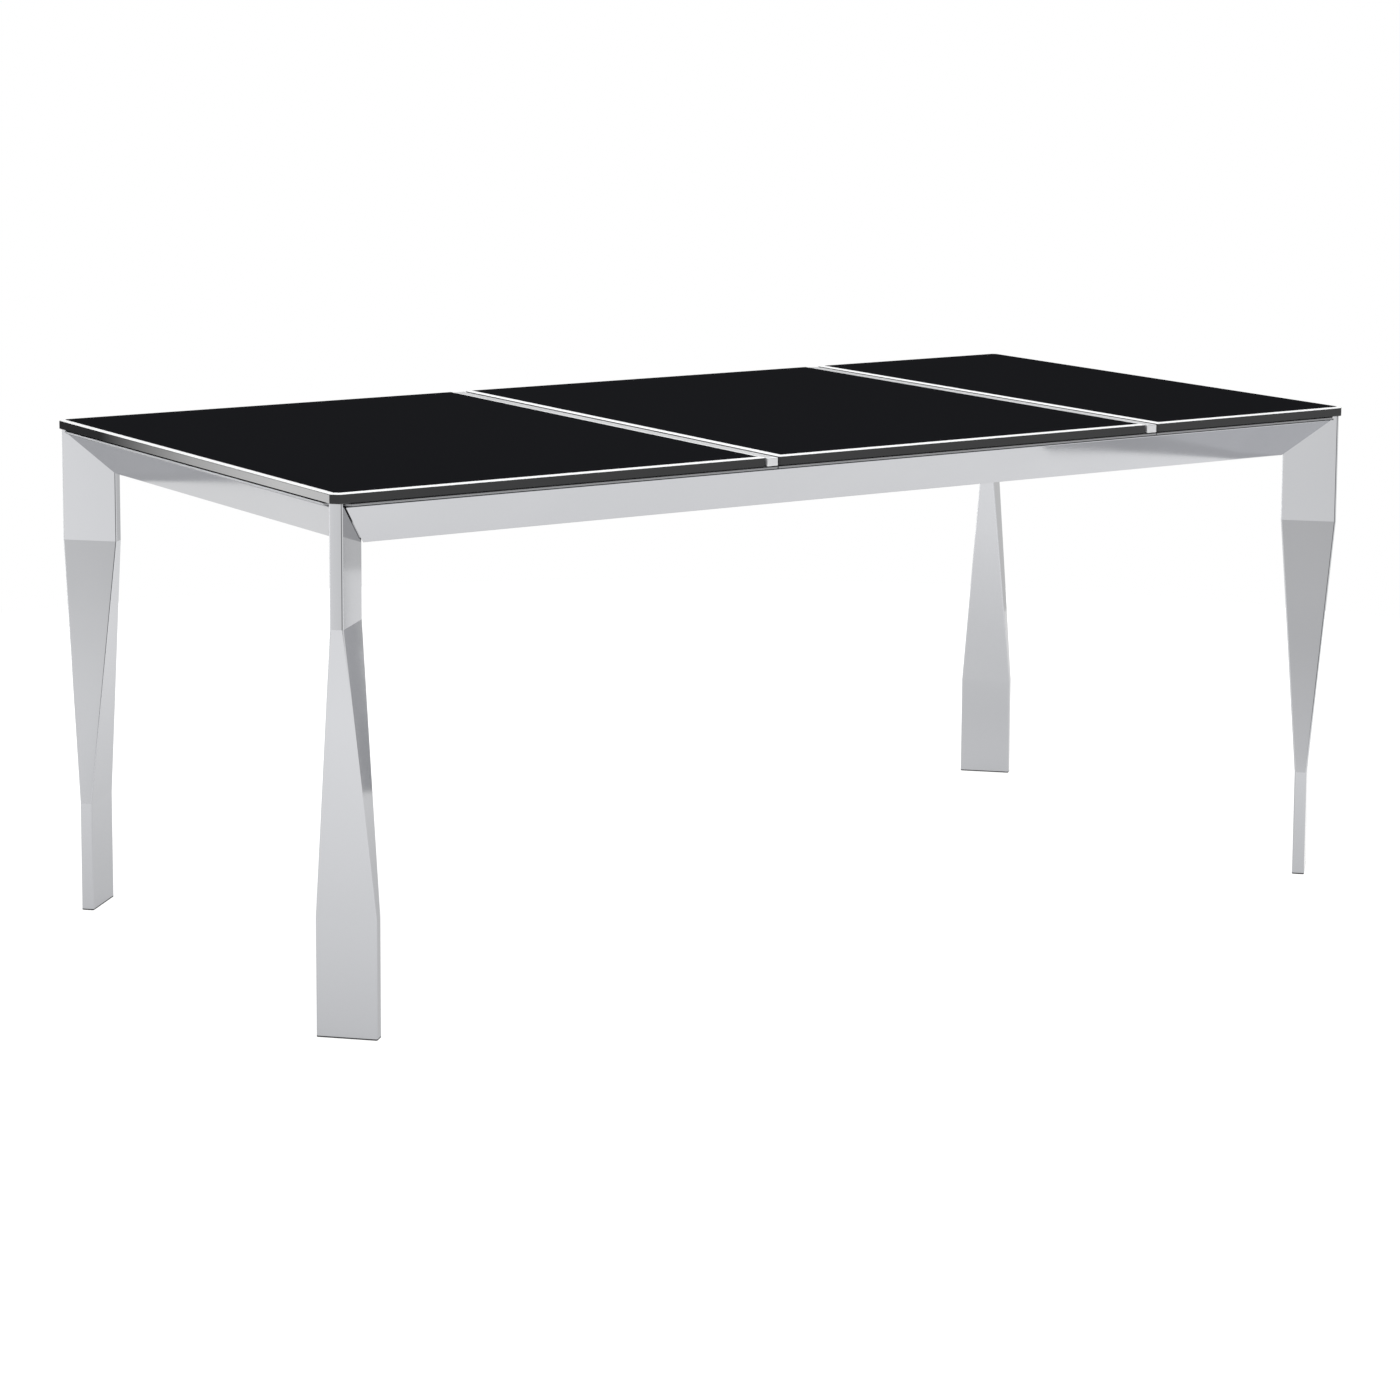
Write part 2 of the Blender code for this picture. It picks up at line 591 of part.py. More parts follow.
def build_end_structure(materials):
    """Build the pull-out rails and beam that carry the right legs and the end panel."""
    steel = materials["frame_steel"]
    for side, sign in (("front", -1), ("back", 1)):
        faces = sorted((sign * END_RAIL_FACE, sign * END_RAIL_OUTER))
        low = (END_RAIL_START, faces[0], RAIL_BOTTOM)
        high = (END_BEAM_INNER - GAP, faces[1], RAIL_TOP)
        add_tube("end_rail_" + side, low, high, 0, steel)
    low = (END_BEAM_INNER, -END_RAIL_OUTER, RAIL_BOTTOM)
    high = (END_BEAM_OUTER, END_RAIL_OUTER, RAIL_TOP)
    add_tube("end_beam", low, high, 1, steel)


def channel(sign, web, lip, half_height, wall):
    """Return a channel's (y, z) section, its web at one depth and its lips reaching to another."""
    inward = 1 if lip > web else -1
    web_side = web if inward > 0 else web + wall
    back = web_side + inward * wall
    depths = [web_side, lip, lip, back, back, lip, lip, web_side]
    inner = half_height - wall
    heights = [half_height, half_height, inner, inner, -inner, -inner, -half_height, -half_height]
    return [(sign * (RAIL_FACE + depth), SLIDE_LEVEL + height) for depth, height in zip(depths, heights)]


def build_slides(materials):
    """Build the three nested members of each telescopic slide."""
    steel = materials["slide_steel"]
    step = SLIDE_WALL + SLIDE_CLEARANCE
    halves = [SLIDE_HEIGHT / 2 - step * nest for nest in range(3)]
    members = {
        "outer": (OUTER_WEB, OUTER_WEB + SLIDE_WALL + SLIDE_LIP, halves[0]),
        "middle": (MIDDLE_WEB, MIDDLE_WEB + SLIDE_WALL + SLIDE_LIP, halves[1]),
        "inner": (INNER_WEB, INNER_LIP_END, halves[2]),
    }
    for side, sign in (("front", -1), ("back", 1)):
        for member, (web, lip, half) in members.items():
            section = channel(sign, web, lip, half, SLIDE_WALL)
            origin = (SLIDE_START, sign * RAIL_FACE, SLIDE_LEVEL)
            end = SLIDE_START + SLIDE_LENGTH
            add_length_prism("slide_%s_%s" % (member, side), section, SLIDE_START, end, steel, origin)


def build_leaf(materials):
    """Build the extension leaf, stored lengthwise: its glass, backing plate and divider."""
    origin = (LEAF_STORED_CENTRE, 0.0, 0.0)
    half = EXTENSION / 2
    glass_start = -half + DIVIDER_WIDTH + 2 * DIVIDER_GAP
    glass = [(glass_start, -HALF_WIDTH), (half, -HALF_WIDTH), (half, HALF_WIDTH), (glass_start, HALF_WIDTH)]
    add_glass("leaf_glass", glass, LEAF_GLASS_TOP, materials["black_glass"], origin, True)
    limit = HALF_WIDTH - PLATE_SETBACK
    plate = [(-half + PLATE_GAP, -limit), (half, -limit), (half, limit), (-half + PLATE_GAP, limit)]
    add_plate("leaf_backing_plate", plate, LEAF_PLATE_TOP, materials["rim_aluminium"], origin, True)
    bar_start = -half + DIVIDER_GAP
    low = (LEAF_STORED_CENTRE - HALF_WIDTH, bar_start, LEAF_PLATE_TOP + BED_HEIGHT)
    high = (LEAF_STORED_CENTRE + HALF_WIDTH, bar_start + DIVIDER_WIDTH, LEAF_GLASS_TOP - DIVIDER_SINK)
    add_box("leaf_divider_bar", low, high, materials["divider_aluminium"])


def cut_away(item, cutter):
    """Cut one hidden shape out of an object."""
    cutter.hide_render = True
    cutter.display_type = "WIRE"
    modifier = item.modifiers.new("cut", "BOOLEAN")
    modifier.operation = "DIFFERENCE"
    modifier.solver = "EXACT"
    modifier.object = cutter


def build_locks(materials):
    """Build the two top locks: pivots and levers on the fixed side, keepers on the end side."""
    steel = materials["slide_steel"]
    pivot_x = RIGHT_SEAM - LOCK_PIVOT_SETBACK
    keeper_x = pivot_x + LOCK_REACH
    flange_bottom = RAIL_TOP - LOCK_FLANGE
    lever_bottom = LOCK_LEVER_TOP - LOCK_LEVER_THICKNESS
    pin, flange = LOCK_PIN_RADIUS, LOCK_FLANGE_RADIUS
    shank = [(flange, RAIL_TOP), (flange, flange_bottom), (pin, flange_bottom)]
    head = [(pin, LOCK_HEAD_TOP), (LOCK_LEVER_HALF_WIDTH, LOCK_HEAD_TOP), (LOCK_LEVER_HALF_WIDTH, LOCK_BOTTOM)]
    for side, sign in (("front", -1), ("back", 1)):
        line = sign * LOCK_LINE
        add_turned("lock_pivot_" + side, shank + head, (pivot_x, line), steel)
        add_turned("lock_keeper_" + side, shank + [(pin, LOCK_BOTTOM)], (keeper_x, line), steel)
        levels = (lever_bottom, LOCK_LEVER_TOP)
        lever = add_lock_lever(side, sign, (pivot_x, line), levels, materials["black_plastic"])
        bore = pin + LOCK_BORE_CLEARANCE
        over = LOCK_LEVER_THICKNESS
        hole = [(bore, lever_bottom - over), (bore, LOCK_LEVER_TOP + over)]
        cut_away(lever, add_turned("guide_bore_" + side, hole, (pivot_x, line), steel))


def add_lock_lever(side, sign, pivot, levels, material):
    """Make a hooked lever at rest, pointing to the table's centre line, open on its leading side."""
    half = LOCK_LEVER_HALF_WIDTH
    slot_near = LOCK_REACH - LOCK_PIN_RADIUS - LOCK_ENTRY
    slot_far = LOCK_REACH + LOCK_PIN_RADIUS + LOCK_CLEARANCE
    floor = -LOCK_PIN_RADIUS - LOCK_CLEARANCE
    tip = slot_far + LOCK_WALL
    local = [(tip, half), (slot_far, half), (slot_far, floor), (slot_near, floor), (slot_near, half)]
    steps = ROUND_STEPS // 2
    for step in range(steps + 1):
        angle = math.pi / 2 + math.pi * step / steps
        local.append((half * math.cos(angle), half * math.sin(angle)))
    local += [(tip - LOCK_WALL, -half), (tip, -half + LOCK_WALL)]
    outline = [(across, -sign * along) for along, across in local]
    bm = bmesh.new()
    add_rings(bm, [[(x, y, level) for x, y in outline] for level in levels])
    return finish_object("lock_lever_" + side, bm, material, (pivot[0], pivot[1], 0.0))


def main():
    """Build the whole table."""
    clear_scene()
    materials = make_materials()
    build_top(materials)
    for name_x, side_x in (("left", -1), ("right", 1)):
        for name_y, side_y in (("front", -1), ("back", 1)):
            name = "%s_%s" % (name_y, name_x)
            build_leg(name, side_x, side_y, materials)
            corner = RAIL_INSET if side_x < 0 else HALF_LENGTH - END_BEAM_OUTER
            add_leg_bracket("leg_bracket_" + name, side_x, side_y, corner, materials["frame_steel"])
    build_aprons(materials)
    build_spacers(materials)
    build_main_structure(materials)
    build_end_structure(materials)
    build_slides(materials)
    build_leaf(materials)
    build_locks(materials)


main()
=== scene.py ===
"""Studio model of an extendable dining table.

Three panels of black glass lie on a mirror-polished steel frame. Its aprons slope inwards, and its
legs turn from the table's diagonals to the lines across them. The right end pulls out on telescopic
slides, and the extension leaf is kept on runners under the top.

Metres, +X along the table, -Y its front, +Z up, origin on the floor under the centre.
"""

import logging
import math
from abc import ABC, abstractmethod
from dataclasses import dataclass
from enum import Enum
from typing import Callable, Iterable, List, Mapping, Optional, Sequence, Tuple, Union

import bmesh
import bpy
from bmesh.types import BMEdge, BMFace, BMVert
from mathutils import Matrix, Vector


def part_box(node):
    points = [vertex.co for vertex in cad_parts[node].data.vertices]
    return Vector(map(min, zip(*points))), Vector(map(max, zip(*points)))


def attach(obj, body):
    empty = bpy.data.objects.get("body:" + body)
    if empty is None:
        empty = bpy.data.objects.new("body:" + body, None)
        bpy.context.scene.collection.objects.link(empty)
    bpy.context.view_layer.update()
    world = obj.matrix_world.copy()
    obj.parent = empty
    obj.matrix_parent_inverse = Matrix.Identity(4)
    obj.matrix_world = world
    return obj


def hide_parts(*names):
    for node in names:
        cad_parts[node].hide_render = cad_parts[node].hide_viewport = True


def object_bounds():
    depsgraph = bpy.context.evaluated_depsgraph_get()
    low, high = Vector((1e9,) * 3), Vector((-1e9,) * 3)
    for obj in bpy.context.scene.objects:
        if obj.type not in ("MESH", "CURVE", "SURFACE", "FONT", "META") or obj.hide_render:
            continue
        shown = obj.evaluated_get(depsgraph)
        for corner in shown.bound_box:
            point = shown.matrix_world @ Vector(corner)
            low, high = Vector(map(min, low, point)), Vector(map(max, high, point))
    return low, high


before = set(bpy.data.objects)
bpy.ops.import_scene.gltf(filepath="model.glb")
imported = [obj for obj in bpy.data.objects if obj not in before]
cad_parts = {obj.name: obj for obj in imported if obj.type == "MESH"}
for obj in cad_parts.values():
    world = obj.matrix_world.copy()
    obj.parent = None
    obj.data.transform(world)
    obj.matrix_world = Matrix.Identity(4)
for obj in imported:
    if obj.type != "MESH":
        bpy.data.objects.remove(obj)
CAD_BOX = [list(corner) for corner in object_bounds()]
DIAGONAL = math.sqrt(0.5)
WELD_DISTANCE = 1e-6
# Name of the face mark on the glass bevels, whose light grey colour is a painted highlight.
PAINTED_BEVEL_MARK = "ground"

Plan = Tuple[float, float]
Point = Tuple[float, float, float]
Colour = Tuple[float, float, float]
log = logging.getLogger("dining_table")


class Slot(Enum):
    """The material slots that the finishes name."""

    GLASS = "black_glass"
    STEEL = "polished_steel"
    RIM = "rim_aluminium"
    DIVIDER = "divider_aluminium"
    FRAME = "frame_steel"
    SLIDE = "slide_steel"
    PLASTIC = "black_plastic"


class Body(Enum):
    """The bodies that the table's pieces move with."""

    MAIN = "main_frame"
    END = "end_frame"
    LEAF = "leaf"
    SLIDE_FRONT = "slide_member_front"
    SLIDE_BACK = "slide_member_back"
    LOCK_FRONT = "lock_front"
    LOCK_BACK = "lock_back"


class Side(Enum):
    """The table's four sides, with the quarter turns that bring the front side there."""

    FRONT = ("front", 0)
    RIGHT = ("right", 1)
    BACK = ("back", 2)
    LEFT = ("left", 3)

    @property
    def label(self) -> str:
        """The side's name."""
        return self.value[0]

    @property
    def turn(self) -> float:
        """The side's turn about Z from the front, in radians."""
        return self.value[1] * math.pi / 2

    @property
    def is_long(self) -> bool:
        """Whether this is one of the two long sides."""
        return self.value[1] % 2 == 0


class Corner(Enum):
    """The table's four corners, as name, sign along X, sign along Y and body."""

    FRONT_LEFT = ("front_left", -1, -1, Body.MAIN)
    BACK_LEFT = ("back_left", -1, 1, Body.MAIN)
    FRONT_RIGHT = ("front_right", 1, -1, Body.END)
    BACK_RIGHT = ("back_right", 1, 1, Body.END)

    @property
    def label(self) -> str:
        """The corner's name."""
        return self.value[0]

    @property
    def body(self) -> Body:
        """The body that carries this corner's leg."""
        return self.value[3]

    @property
    def turn(self) -> float:
        """The turn about Z that points local +X out through the corner, in radians."""
        return math.atan2(self.value[2], self.value[1])


@dataclass(frozen=True)
class Box:
    """The lowest and highest corners of a part of the frame, in metres."""

    low: Vector
    high: Vector

    @classmethod
    def of(cls, node: str) -> "Box":
        """Return the box of one node of the frame."""
        return cls(*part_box(node))

    @property
    def centre(self) -> Vector:
        """The box's centre."""
        return (self.low + self.high) / 2

    @property
    def size(self) -> Vector:
        """The box's size along each axis."""
        return self.high - self.low


class Signal:
    """A shader socket that takes part in Python expressions."""

    def __init__(self, sheet: "ShaderSheet", socket: bpy.types.NodeSocket) -> None:
        """Wrap one output socket of a sheet."""
        self.sheet = sheet
        self.socket = socket

    def _maths(self, operation: str, first: "Value", second: "Value") -> "Signal":
        """Return the result of a Math node on two values."""
        return self.sheet.node("ShaderNodeMath", {"operation": operation}, {0: first, 1: second})

    def __add__(self, other: "Value") -> "Signal":
        """Add a value."""
        return self._maths("ADD", self, other)

    def __sub__(self, other: "Value") -> "Signal":
        """Subtract a value."""
        return self._maths("SUBTRACT", self, other)

    def __rsub__(self, other: "Value") -> "Signal":
        """Subtract this from a value."""
        return self._maths("SUBTRACT", other, self)

    def __mul__(self, other: "Value") -> "Signal":
        """Multiply by a value."""
        return self._maths("MULTIPLY", self, other)

    def __gt__(self, other: "Value") -> "Signal":
        """Return 1 where this is the greater, else 0."""
        return self._maths("GREATER_THAN", self, other)

    __radd__ = __add__
    __rmul__ = __mul__


Value = Union[Signal, float, Sequence[float]]


class ShaderSheet:
    """The node graph of one material or world, written as expressions."""

    def __init__(self, owner: Union[bpy.types.Material, bpy.types.World], output: str) -> None:
        """Start an empty graph that ends in one output node.

        Args:
            owner: The material or world that holds the graph.
            output: The type of the output node.
        """
        owner.use_nodes = True
        self.owner = owner
        self.tree = owner.node_tree
        self.tree.nodes.clear()
        self.output = self.tree.nodes.new(output)

    def feed(self, socket: bpy.types.NodeSocket, value: Value) -> None:
        """Link a signal to an input socket, or set the socket's own value."""
        if isinstance(value, Signal):
            self.tree.links.new(value.socket, socket)
        elif isinstance(value, (int, float)):
            socket.default_value = value
        else:
            room = len(socket.default_value)
            socket.default_value = (*value, 1.0)[:room]

    def node(
        self,
        kind: str,
        settings: Optional[Mapping[str, object]] = None,
        values: Optional[Mapping[Union[str, int], Value]] = None,
        output: Union[str, int] = 0,
    ) -> Signal:
        """Add a node and return one of its outputs.

        Args:
            kind: The node's type.
            settings: Its properties, set first; "stops" holds a colour ramp's (place, grey) pairs.
            values: The values or links of its input sockets, by name or number.
            output: The name or number of the socket to return.

        Returns:
            The signal of that output.
        """
        made = self.tree.nodes.new(kind)
        for key, value in (settings or {}).items():
            if key == "stops":
                self._set_stops(made.color_ramp, value)
            else:
                setattr(made, key, value)
        for key, value in (values or {}).items():
            self.feed(made.inputs[key], value)
        return Signal(self, made.outputs[output])

    @staticmethod
    def _set_stops(ramp: bpy.types.ColorRamp, stops: Sequence[Tuple[float, float]]) -> None:
        """Give a colour ramp its grey stops."""
        while len(ramp.elements) < len(stops):
            ramp.elements.new(1.0)
        for element, (place, grey) in zip(ramp.elements, stops):
            element.position = place
            element.color = (grey, grey, grey, 1.0)

    def place(self, stretch: Optional[Point] = None) -> Signal:
        """Return the object coordinates, stretched by a factor along each axis where one is given."""
        coordinates = self.node("ShaderNodeTexCoord", output="Object")
        if stretch is None:
            return coordinates
        return self.node("ShaderNodeMapping", None, {"Vector": coordinates, "Scale": stretch})

    def noise(self, place: Signal, scale: float, detail: float = 2.0) -> Signal:
        """Return a noise from 0 to 1 over a place."""
        return self.node("ShaderNodeTexNoise", None, {"Vector": place, "Scale": scale, "Detail": detail})

    def ramp(self, factor: Signal, stops: Sequence[Tuple[float, float]]) -> Signal:
        """Return a signal shaped by a ramp of (place, grey) stops."""
        return self.node("ShaderNodeValToRGB", {"stops": stops}, {"Fac": factor})

    def blend(self, factor: Signal, first: Value, second: Value) -> Signal:
        """Return a colour between two colours."""
        return self.node("ShaderNodeMix", {"data_type": "RGBA"}, {0: factor, 6: first, 7: second}, 2)

    def bump(self, height: Signal, strength: float, distance: float) -> Signal:
        """Return a normal raised by a height."""
        return self.node(
            "ShaderNodeBump", None, {"Height": height, "Strength": strength, "Distance": distance})

    def surface(self, values: Mapping[str, Value]) -> None:
        """End the graph in a Principled shader with these socket values."""
        shader = self.node("ShaderNodeBsdfPrincipled", None, values)
        self.feed(self.output.inputs["Surface"], shader)


@dataclass(frozen=True)
class Finish(ABC):
    """A surface finish: a named material, and the slot it belongs to."""

    label: str
    slot: Slot

    @abstractmethod
    def paint(self, sheet: ShaderSheet) -> None:
        """Write the finish into an empty sheet."""

    def material(self) -> bpy.types.Material:
        """Return the finish's material, made on first use."""
        found = bpy.data.materials.get(self.label)
        if found is None:
            found = bpy.data.materials.new(self.label)
            self.paint(ShaderSheet(found, "ShaderNodeOutputMaterial"))
        return found


@dataclass(frozen=True)
class WorkedMetal(Finish):
    """Bare metal with working lines along one axis, a faint handling haze, and painted shade that darkens its
    colour towards the floor.
    """

    tint: Colour = (0.555, 0.562, 0.582)
    haze_tint: Colour = (0.590, 0.595, 0.612)
    roughness: float = 0.04
    haze: float = 0.04
    haze_scale: float = 6.0
    lines: float = 0.03
    line_stretch: Point = (900.0, 900.0, 5.0)
    relief: float = 0.04
    relief_depth: float = 0.0002
    grazing_tint: float = 0.72
    # Painted shade: how far the colour darkens at the floor, and the height where that darkening ends.
    painted_foot_shade: float = 0.78
    painted_shade_height: float = 0.45
    metallic: float = 1.0

    def paint(self, sheet: ShaderSheet) -> None:
        """Write the metal's colour, working lines and haze, and the painted shade towards the floor."""
        haze = sheet.noise(sheet.place(), self.haze_scale, 3.0)
        lines = sheet.noise(sheet.place(self.line_stretch), 1.0, 1.0)
        # Painted shade: the base colour darkens towards the floor, standing in for the dimmer reflections
        # near the feet.
        level = sheet.node("ShaderNodeSeparateXYZ", None, {0: sheet.place()}, "Z")
        painted_shade_fade = sheet.ramp(level, ((0.0, 0.0), (self.painted_shade_height, 1.0)))
        painted_shade_tint = tuple(part * self.painted_foot_shade for part in self.tint)
        sheet.surface({
            "Base Color": sheet.blend(painted_shade_fade, painted_shade_tint, sheet.blend(haze, self.tint, self.haze_tint)),
            "Specular Tint": (self.grazing_tint,) * 3,
            "Metallic": self.metallic,
            "Roughness": self.roughness + haze * self.haze + lines * self.lines,
            "Normal": sheet.bump(lines, self.relief, self.relief_depth),
        })


@dataclass(frozen=True)
class PlatedMetal(Finish):
    """Zinc-plated sheet: cool patches of slightly different grey and gloss."""

    tint: Colour = (0.50, 0.52, 0.55)
    patch_tint: Colour = (0.62, 0.63, 0.64)
    patch_scale: float = 60.0
    roughness: float = 0.28
    patch_roughness: float = 0.16

    def paint(self, sheet: ShaderSheet) -> None:
        """Write the plating's patches and fine grain."""
        patches = sheet.node(
            "ShaderNodeTexVoronoi", None, {"Vector": sheet.place(), "Scale": self.patch_scale}, "Color")
        patch = sheet.node("ShaderNodeSeparateColor", None, {0: patches})
        grain = sheet.noise(sheet.place(), 900.0, 2.0)
        sheet.surface({
            "Base Color": sheet.blend(patch, self.tint, self.patch_tint),
            "Metallic": 1.0,
            "Roughness": self.roughness + patch * self.patch_roughness,
            "Normal": sheet.bump(grain, 0.1, 0.0002),
        })


@dataclass(frozen=True)
class BlackGlass(Finish):
    """Clear glass painted black behind, with bevels coloured light grey as a painted highlight, wiped smears
    and a little dust.
    """

    tint: Colour = (0.0062, 0.0066, 0.0086)
    painted_highlight_tint: Colour = (0.86, 0.865, 0.87)
    bevel_roughness: float = 0.32
    dust_tint: Colour = (0.020, 0.020, 0.021)
    dust_scale: float = 420.0
    dust_level: float = 0.735
    gloss: float = 0.005
    smear: float = 0.012

    def paint(self, sheet: ShaderSheet) -> None:
        """Write the paint's colour, the bevels' painted highlight, the smears and the dust."""
        # Painted highlight: the marked bevel faces get a light grey colour, standing in for the bright
        # reflection of the polished bevel; they are rougher too.
        ground = sheet.node("ShaderNodeAttribute", {"attribute_name": PAINTED_BEVEL_MARK}, None, "Fac")
        smear = sheet.noise(sheet.place((1.0, 4.0, 1.0)), 5.0, 4.0)
        dust = sheet.noise(sheet.place(), self.dust_scale, 1.0) > self.dust_level
        sheet.surface({
            "Base Color": sheet.blend(ground, sheet.blend(dust, self.tint, self.dust_tint), self.painted_highlight_tint),
            "Roughness": self.gloss + smear * self.smear + ground * self.bevel_roughness,
            "IOR": 1.52,
        })


@dataclass(frozen=True)
class PowderCoat(Finish):
    """Matt black powder coat with a fine orange peel."""

    tint: Colour = (0.022, 0.022, 0.024)
    rubbed_tint: Colour = (0.050, 0.050, 0.054)
    roughness: float = 0.42
    peel_scale: float = 950.0

    def paint(self, sheet: ShaderSheet) -> None:
        """Write the coat's colour, rubbed places and peel."""
        peel = sheet.noise(sheet.place(), self.peel_scale, 2.0)
        rubbed = sheet.ramp(sheet.noise(sheet.place(), 14.0, 5.0), ((0.45, 0.0), (0.75, 1.0)))
        sheet.surface({
            "Base Color": sheet.blend(rubbed, self.tint, self.rubbed_tint),
            "Roughness": self.roughness + rubbed * 0.12,
            "Normal": sheet.bump(peel, 0.35, 0.0003),
        })


@dataclass(frozen=True)
class MouldedPlastic(Finish):
    """Black moulded plastic with a spark-eroded grain."""

    tint: Colour = (0.018, 0.018, 0.019)
    worn_tint: Colour = (0.036, 0.036, 0.038)
    roughness: float = 0.48
    grain_scale: float = 1800.0

    def paint(self, sheet: ShaderSheet) -> None:
        """Write the plastic's colour, wear and grain."""
        grain = sheet.noise(sheet.place(), self.grain_scale, 1.0)
        wear = sheet.noise(sheet.place(), 40.0, 4.0)
        sheet.surface({
            "Base Color": sheet.blend(wear, self.tint, self.worn_tint),
            "Roughness": self.roughness + grain * 0.12,
            "Normal": sheet.bump(grain, 0.3, 0.0002),
        })


@dataclass(frozen=True)
class StudioFloor(Finish):
    """Plain white studio floor, evenly lit from below as well as from above."""

    tint: Colour = (0.22, 0.22, 0.22)
    glow: float = 0.99

    def paint(self, sheet: ShaderSheet) -> None:
        """Write the floor's even white."""
        sheet.surface({
            "Base Color": self.tint,
            "Roughness": 0.9,
            "Specular IOR Level": 0.0,
            "Emission Color": (1.0, 1.0, 1.0),
            "Emission Strength": self.glow,
        })


MIRROR_STEEL = WorkedMetal("mirror_polish", Slot.STEEL)
SATIN_BAR = WorkedMetal(
    "bright_satin", Slot.DIVIDER, (0.84, 0.845, 0.86), (0.88, 0.885, 0.895), 0.26, 0.05, 9.0, 0.06,
    (900.0, 4.0, 900.0), 0.05, metallic=0.5)
SATIN_RIM = WorkedMetal(
    "grey_anodising", Slot.RIM, (0.30, 0.305, 0.315), (0.36, 0.365, 0.375), 0.30, 0.05, 12.0, 0.08,
    (4.0, 4.0, 900.0), 0.10)
BRIGHT_FASTENER = WorkedMetal(
    "bright_fastener", Slot.SLIDE, (0.62, 0.625, 0.63), (0.70, 0.70, 0.71), 0.20, 0.06, 80.0, 0.05,
    (700.0, 700.0, 700.0), 0.05)
ZINC = PlatedMetal("zinc_plate", Slot.SLIDE)
GLASS = BlackGlass("back_painted_glass", Slot.GLASS)
COAT = PowderCoat("powder_coat", Slot.FRAME)
PLASTIC = MouldedPlastic("moulded_plastic", Slot.PLASTIC)
FLOOR = StudioFloor("studio_white", Slot.PLASTIC)


class Blank:
    """A mesh that is worked like stock on a bench, then finished as a named piece."""

    def __init__(self) -> None:
        """Start with nothing on the bench."""
        self.bm = bmesh.new()

    @classmethod
    def block(cls, low: Sequence[float], high: Sequence[float]) -> "Blank":
        """Return a block between two corners."""
        blank = cls()
        bmesh.ops.create_cube(blank.bm, size=1.0)
        size = Matrix.Diagonal((*(Vector(high) - Vector(low)), 1.0))
        return blank.move(Matrix.Translation((Vector(low) + Vector(high)) / 2) @ size)

    @classmethod
    def slab(cls, outline: Sequence[Plan], bottom: float, top: float) -> "Blank":
        """Return a slab raised from a plan outline."""
        blank = cls()
        base = blank.face([(x, y, bottom) for x, y in outline])
        blank.extrude([base], (0.0, 0.0, top - bottom))
        return blank

    @classmethod
    def bar(cls, section: Sequence[Plan], radii: Sequence[float], start: float, end: float) -> "Blank":
        """Return a bar along X.

        Args:
            section: The section's (y, z) points.
            radii: The radius of the section's corner at each point; 0 leaves it square.
            start: Where the bar starts along X.
            end: Where it ends.

        Returns:
            The bar, with its corners rounded along its length.
        """
        blank = cls()
        base = blank.face([(start, y, z) for y, z in section])
        corners = list(zip(base.verts[:], radii))
        for radius in sorted(set(radii) - {0.0}):
            blank.round_corners([vert for vert, own in corners if own == radius], radius)
        blank.extrude(blank.bm.faces[:], (end - start, 0.0, 0.0))
        return blank

    @classmethod
    def turned(cls, profile: Sequence[Plan], centre: Sequence[float], steps: int = 32) -> "Blank":
        """Return a profile of (radius, height) points spun about a vertical axis.

        Args:
            profile: The points, from the axis at one end to the axis at the other.
            centre: The point that height 0 on the axis goes to.
            steps: How many steps the turn takes.

        Returns:
            The closed turned shape.
        """
        blank = cls()
        verts = [blank.bm.verts.new((radius, 0.0, height)) for radius, height in profile]
        edges = [blank.bm.edges.new(pair) for pair in zip(verts, verts[1:])]
        bmesh.ops.spin(
            blank.bm, geom=verts + edges, cent=(0, 0, 0), axis=(0, 0, 1), angle=2 * math.pi,
            steps=steps, use_merge=True)
        bmesh.ops.remove_doubles(blank.bm, verts=blank.bm.verts[:], dist=WELD_DISTANCE)
        return blank.move(Matrix.Translation(Vector(centre)))

    @classmethod
    def tube(cls, box: Box, axis: int, wall: float, radius: float) -> "Blank":
        """Return a rectangular tube that fills a box, open at both ends of one axis.

        Args:
            box: The tube's outer size.
            axis: The axis that it runs along, 0 for X or 1 for Y.
            wall: The wall's thickness.
            radius: The outer radius of its four long edges.

        Returns:
            The tube.
        """
        blank = cls()
        across = 1 - axis
        ring = []
        for side, level in ((0, 0), (1, 0), (1, 1), (0, 1)):
            point = box.low.copy()
            point[across] = (box.low, box.high)[side][across]
            point.z = (box.low, box.high)[level].z
            ring.append(point)
        blank.face(ring)
        blank.round_corners(blank.bm.verts[:], radius)
        blank.bm.normal_update()
        inner = blank.bm.faces[:]
        bmesh.ops.inset_region(
            blank.bm, faces=inner, thickness=wall, use_boundary=True, use_even_offset=True)
        bmesh.ops.delete(blank.bm, geom=inner, context="FACES_ONLY")
        step = Vector((0, 0, 0))
        step[axis] = box.size[axis]
        blank.extrude(blank.bm.faces[:], step)
        return blank

    def face(self, points: Iterable[Sequence[float]]) -> BMFace:
        """Add one face through the points and return it."""
        return self.bm.faces.new([self.bm.verts.new(point) for point in points])

    def extrude(self, faces: Sequence[BMFace], step: Sequence[float]) -> List[BMFace]:
        """Extrude faces by a step and return the faces at the far end."""
        edges = dict.fromkeys(edge for face in faces for edge in face.edges)
        made = bmesh.ops.extrude_face_region(self.bm, geom=[*faces, *edges])["geom"]
        moved = [item for item in made if isinstance(item, BMVert)]
        bmesh.ops.translate(self.bm, verts=moved, vec=step)
        return [item for item in made if isinstance(item, BMFace)]

    def round_corners(self, verts: Sequence[BMVert], radius: float, segments: int = 3) -> "Blank":
        """Round the corners of a flat face at some of its vertices."""
        bmesh.ops.bevel(
            self.bm, geom=list(verts), offset=radius, offset_type="OFFSET", segments=segments,
            profile=0.5, affect="VERTICES", material=-1)
        return self

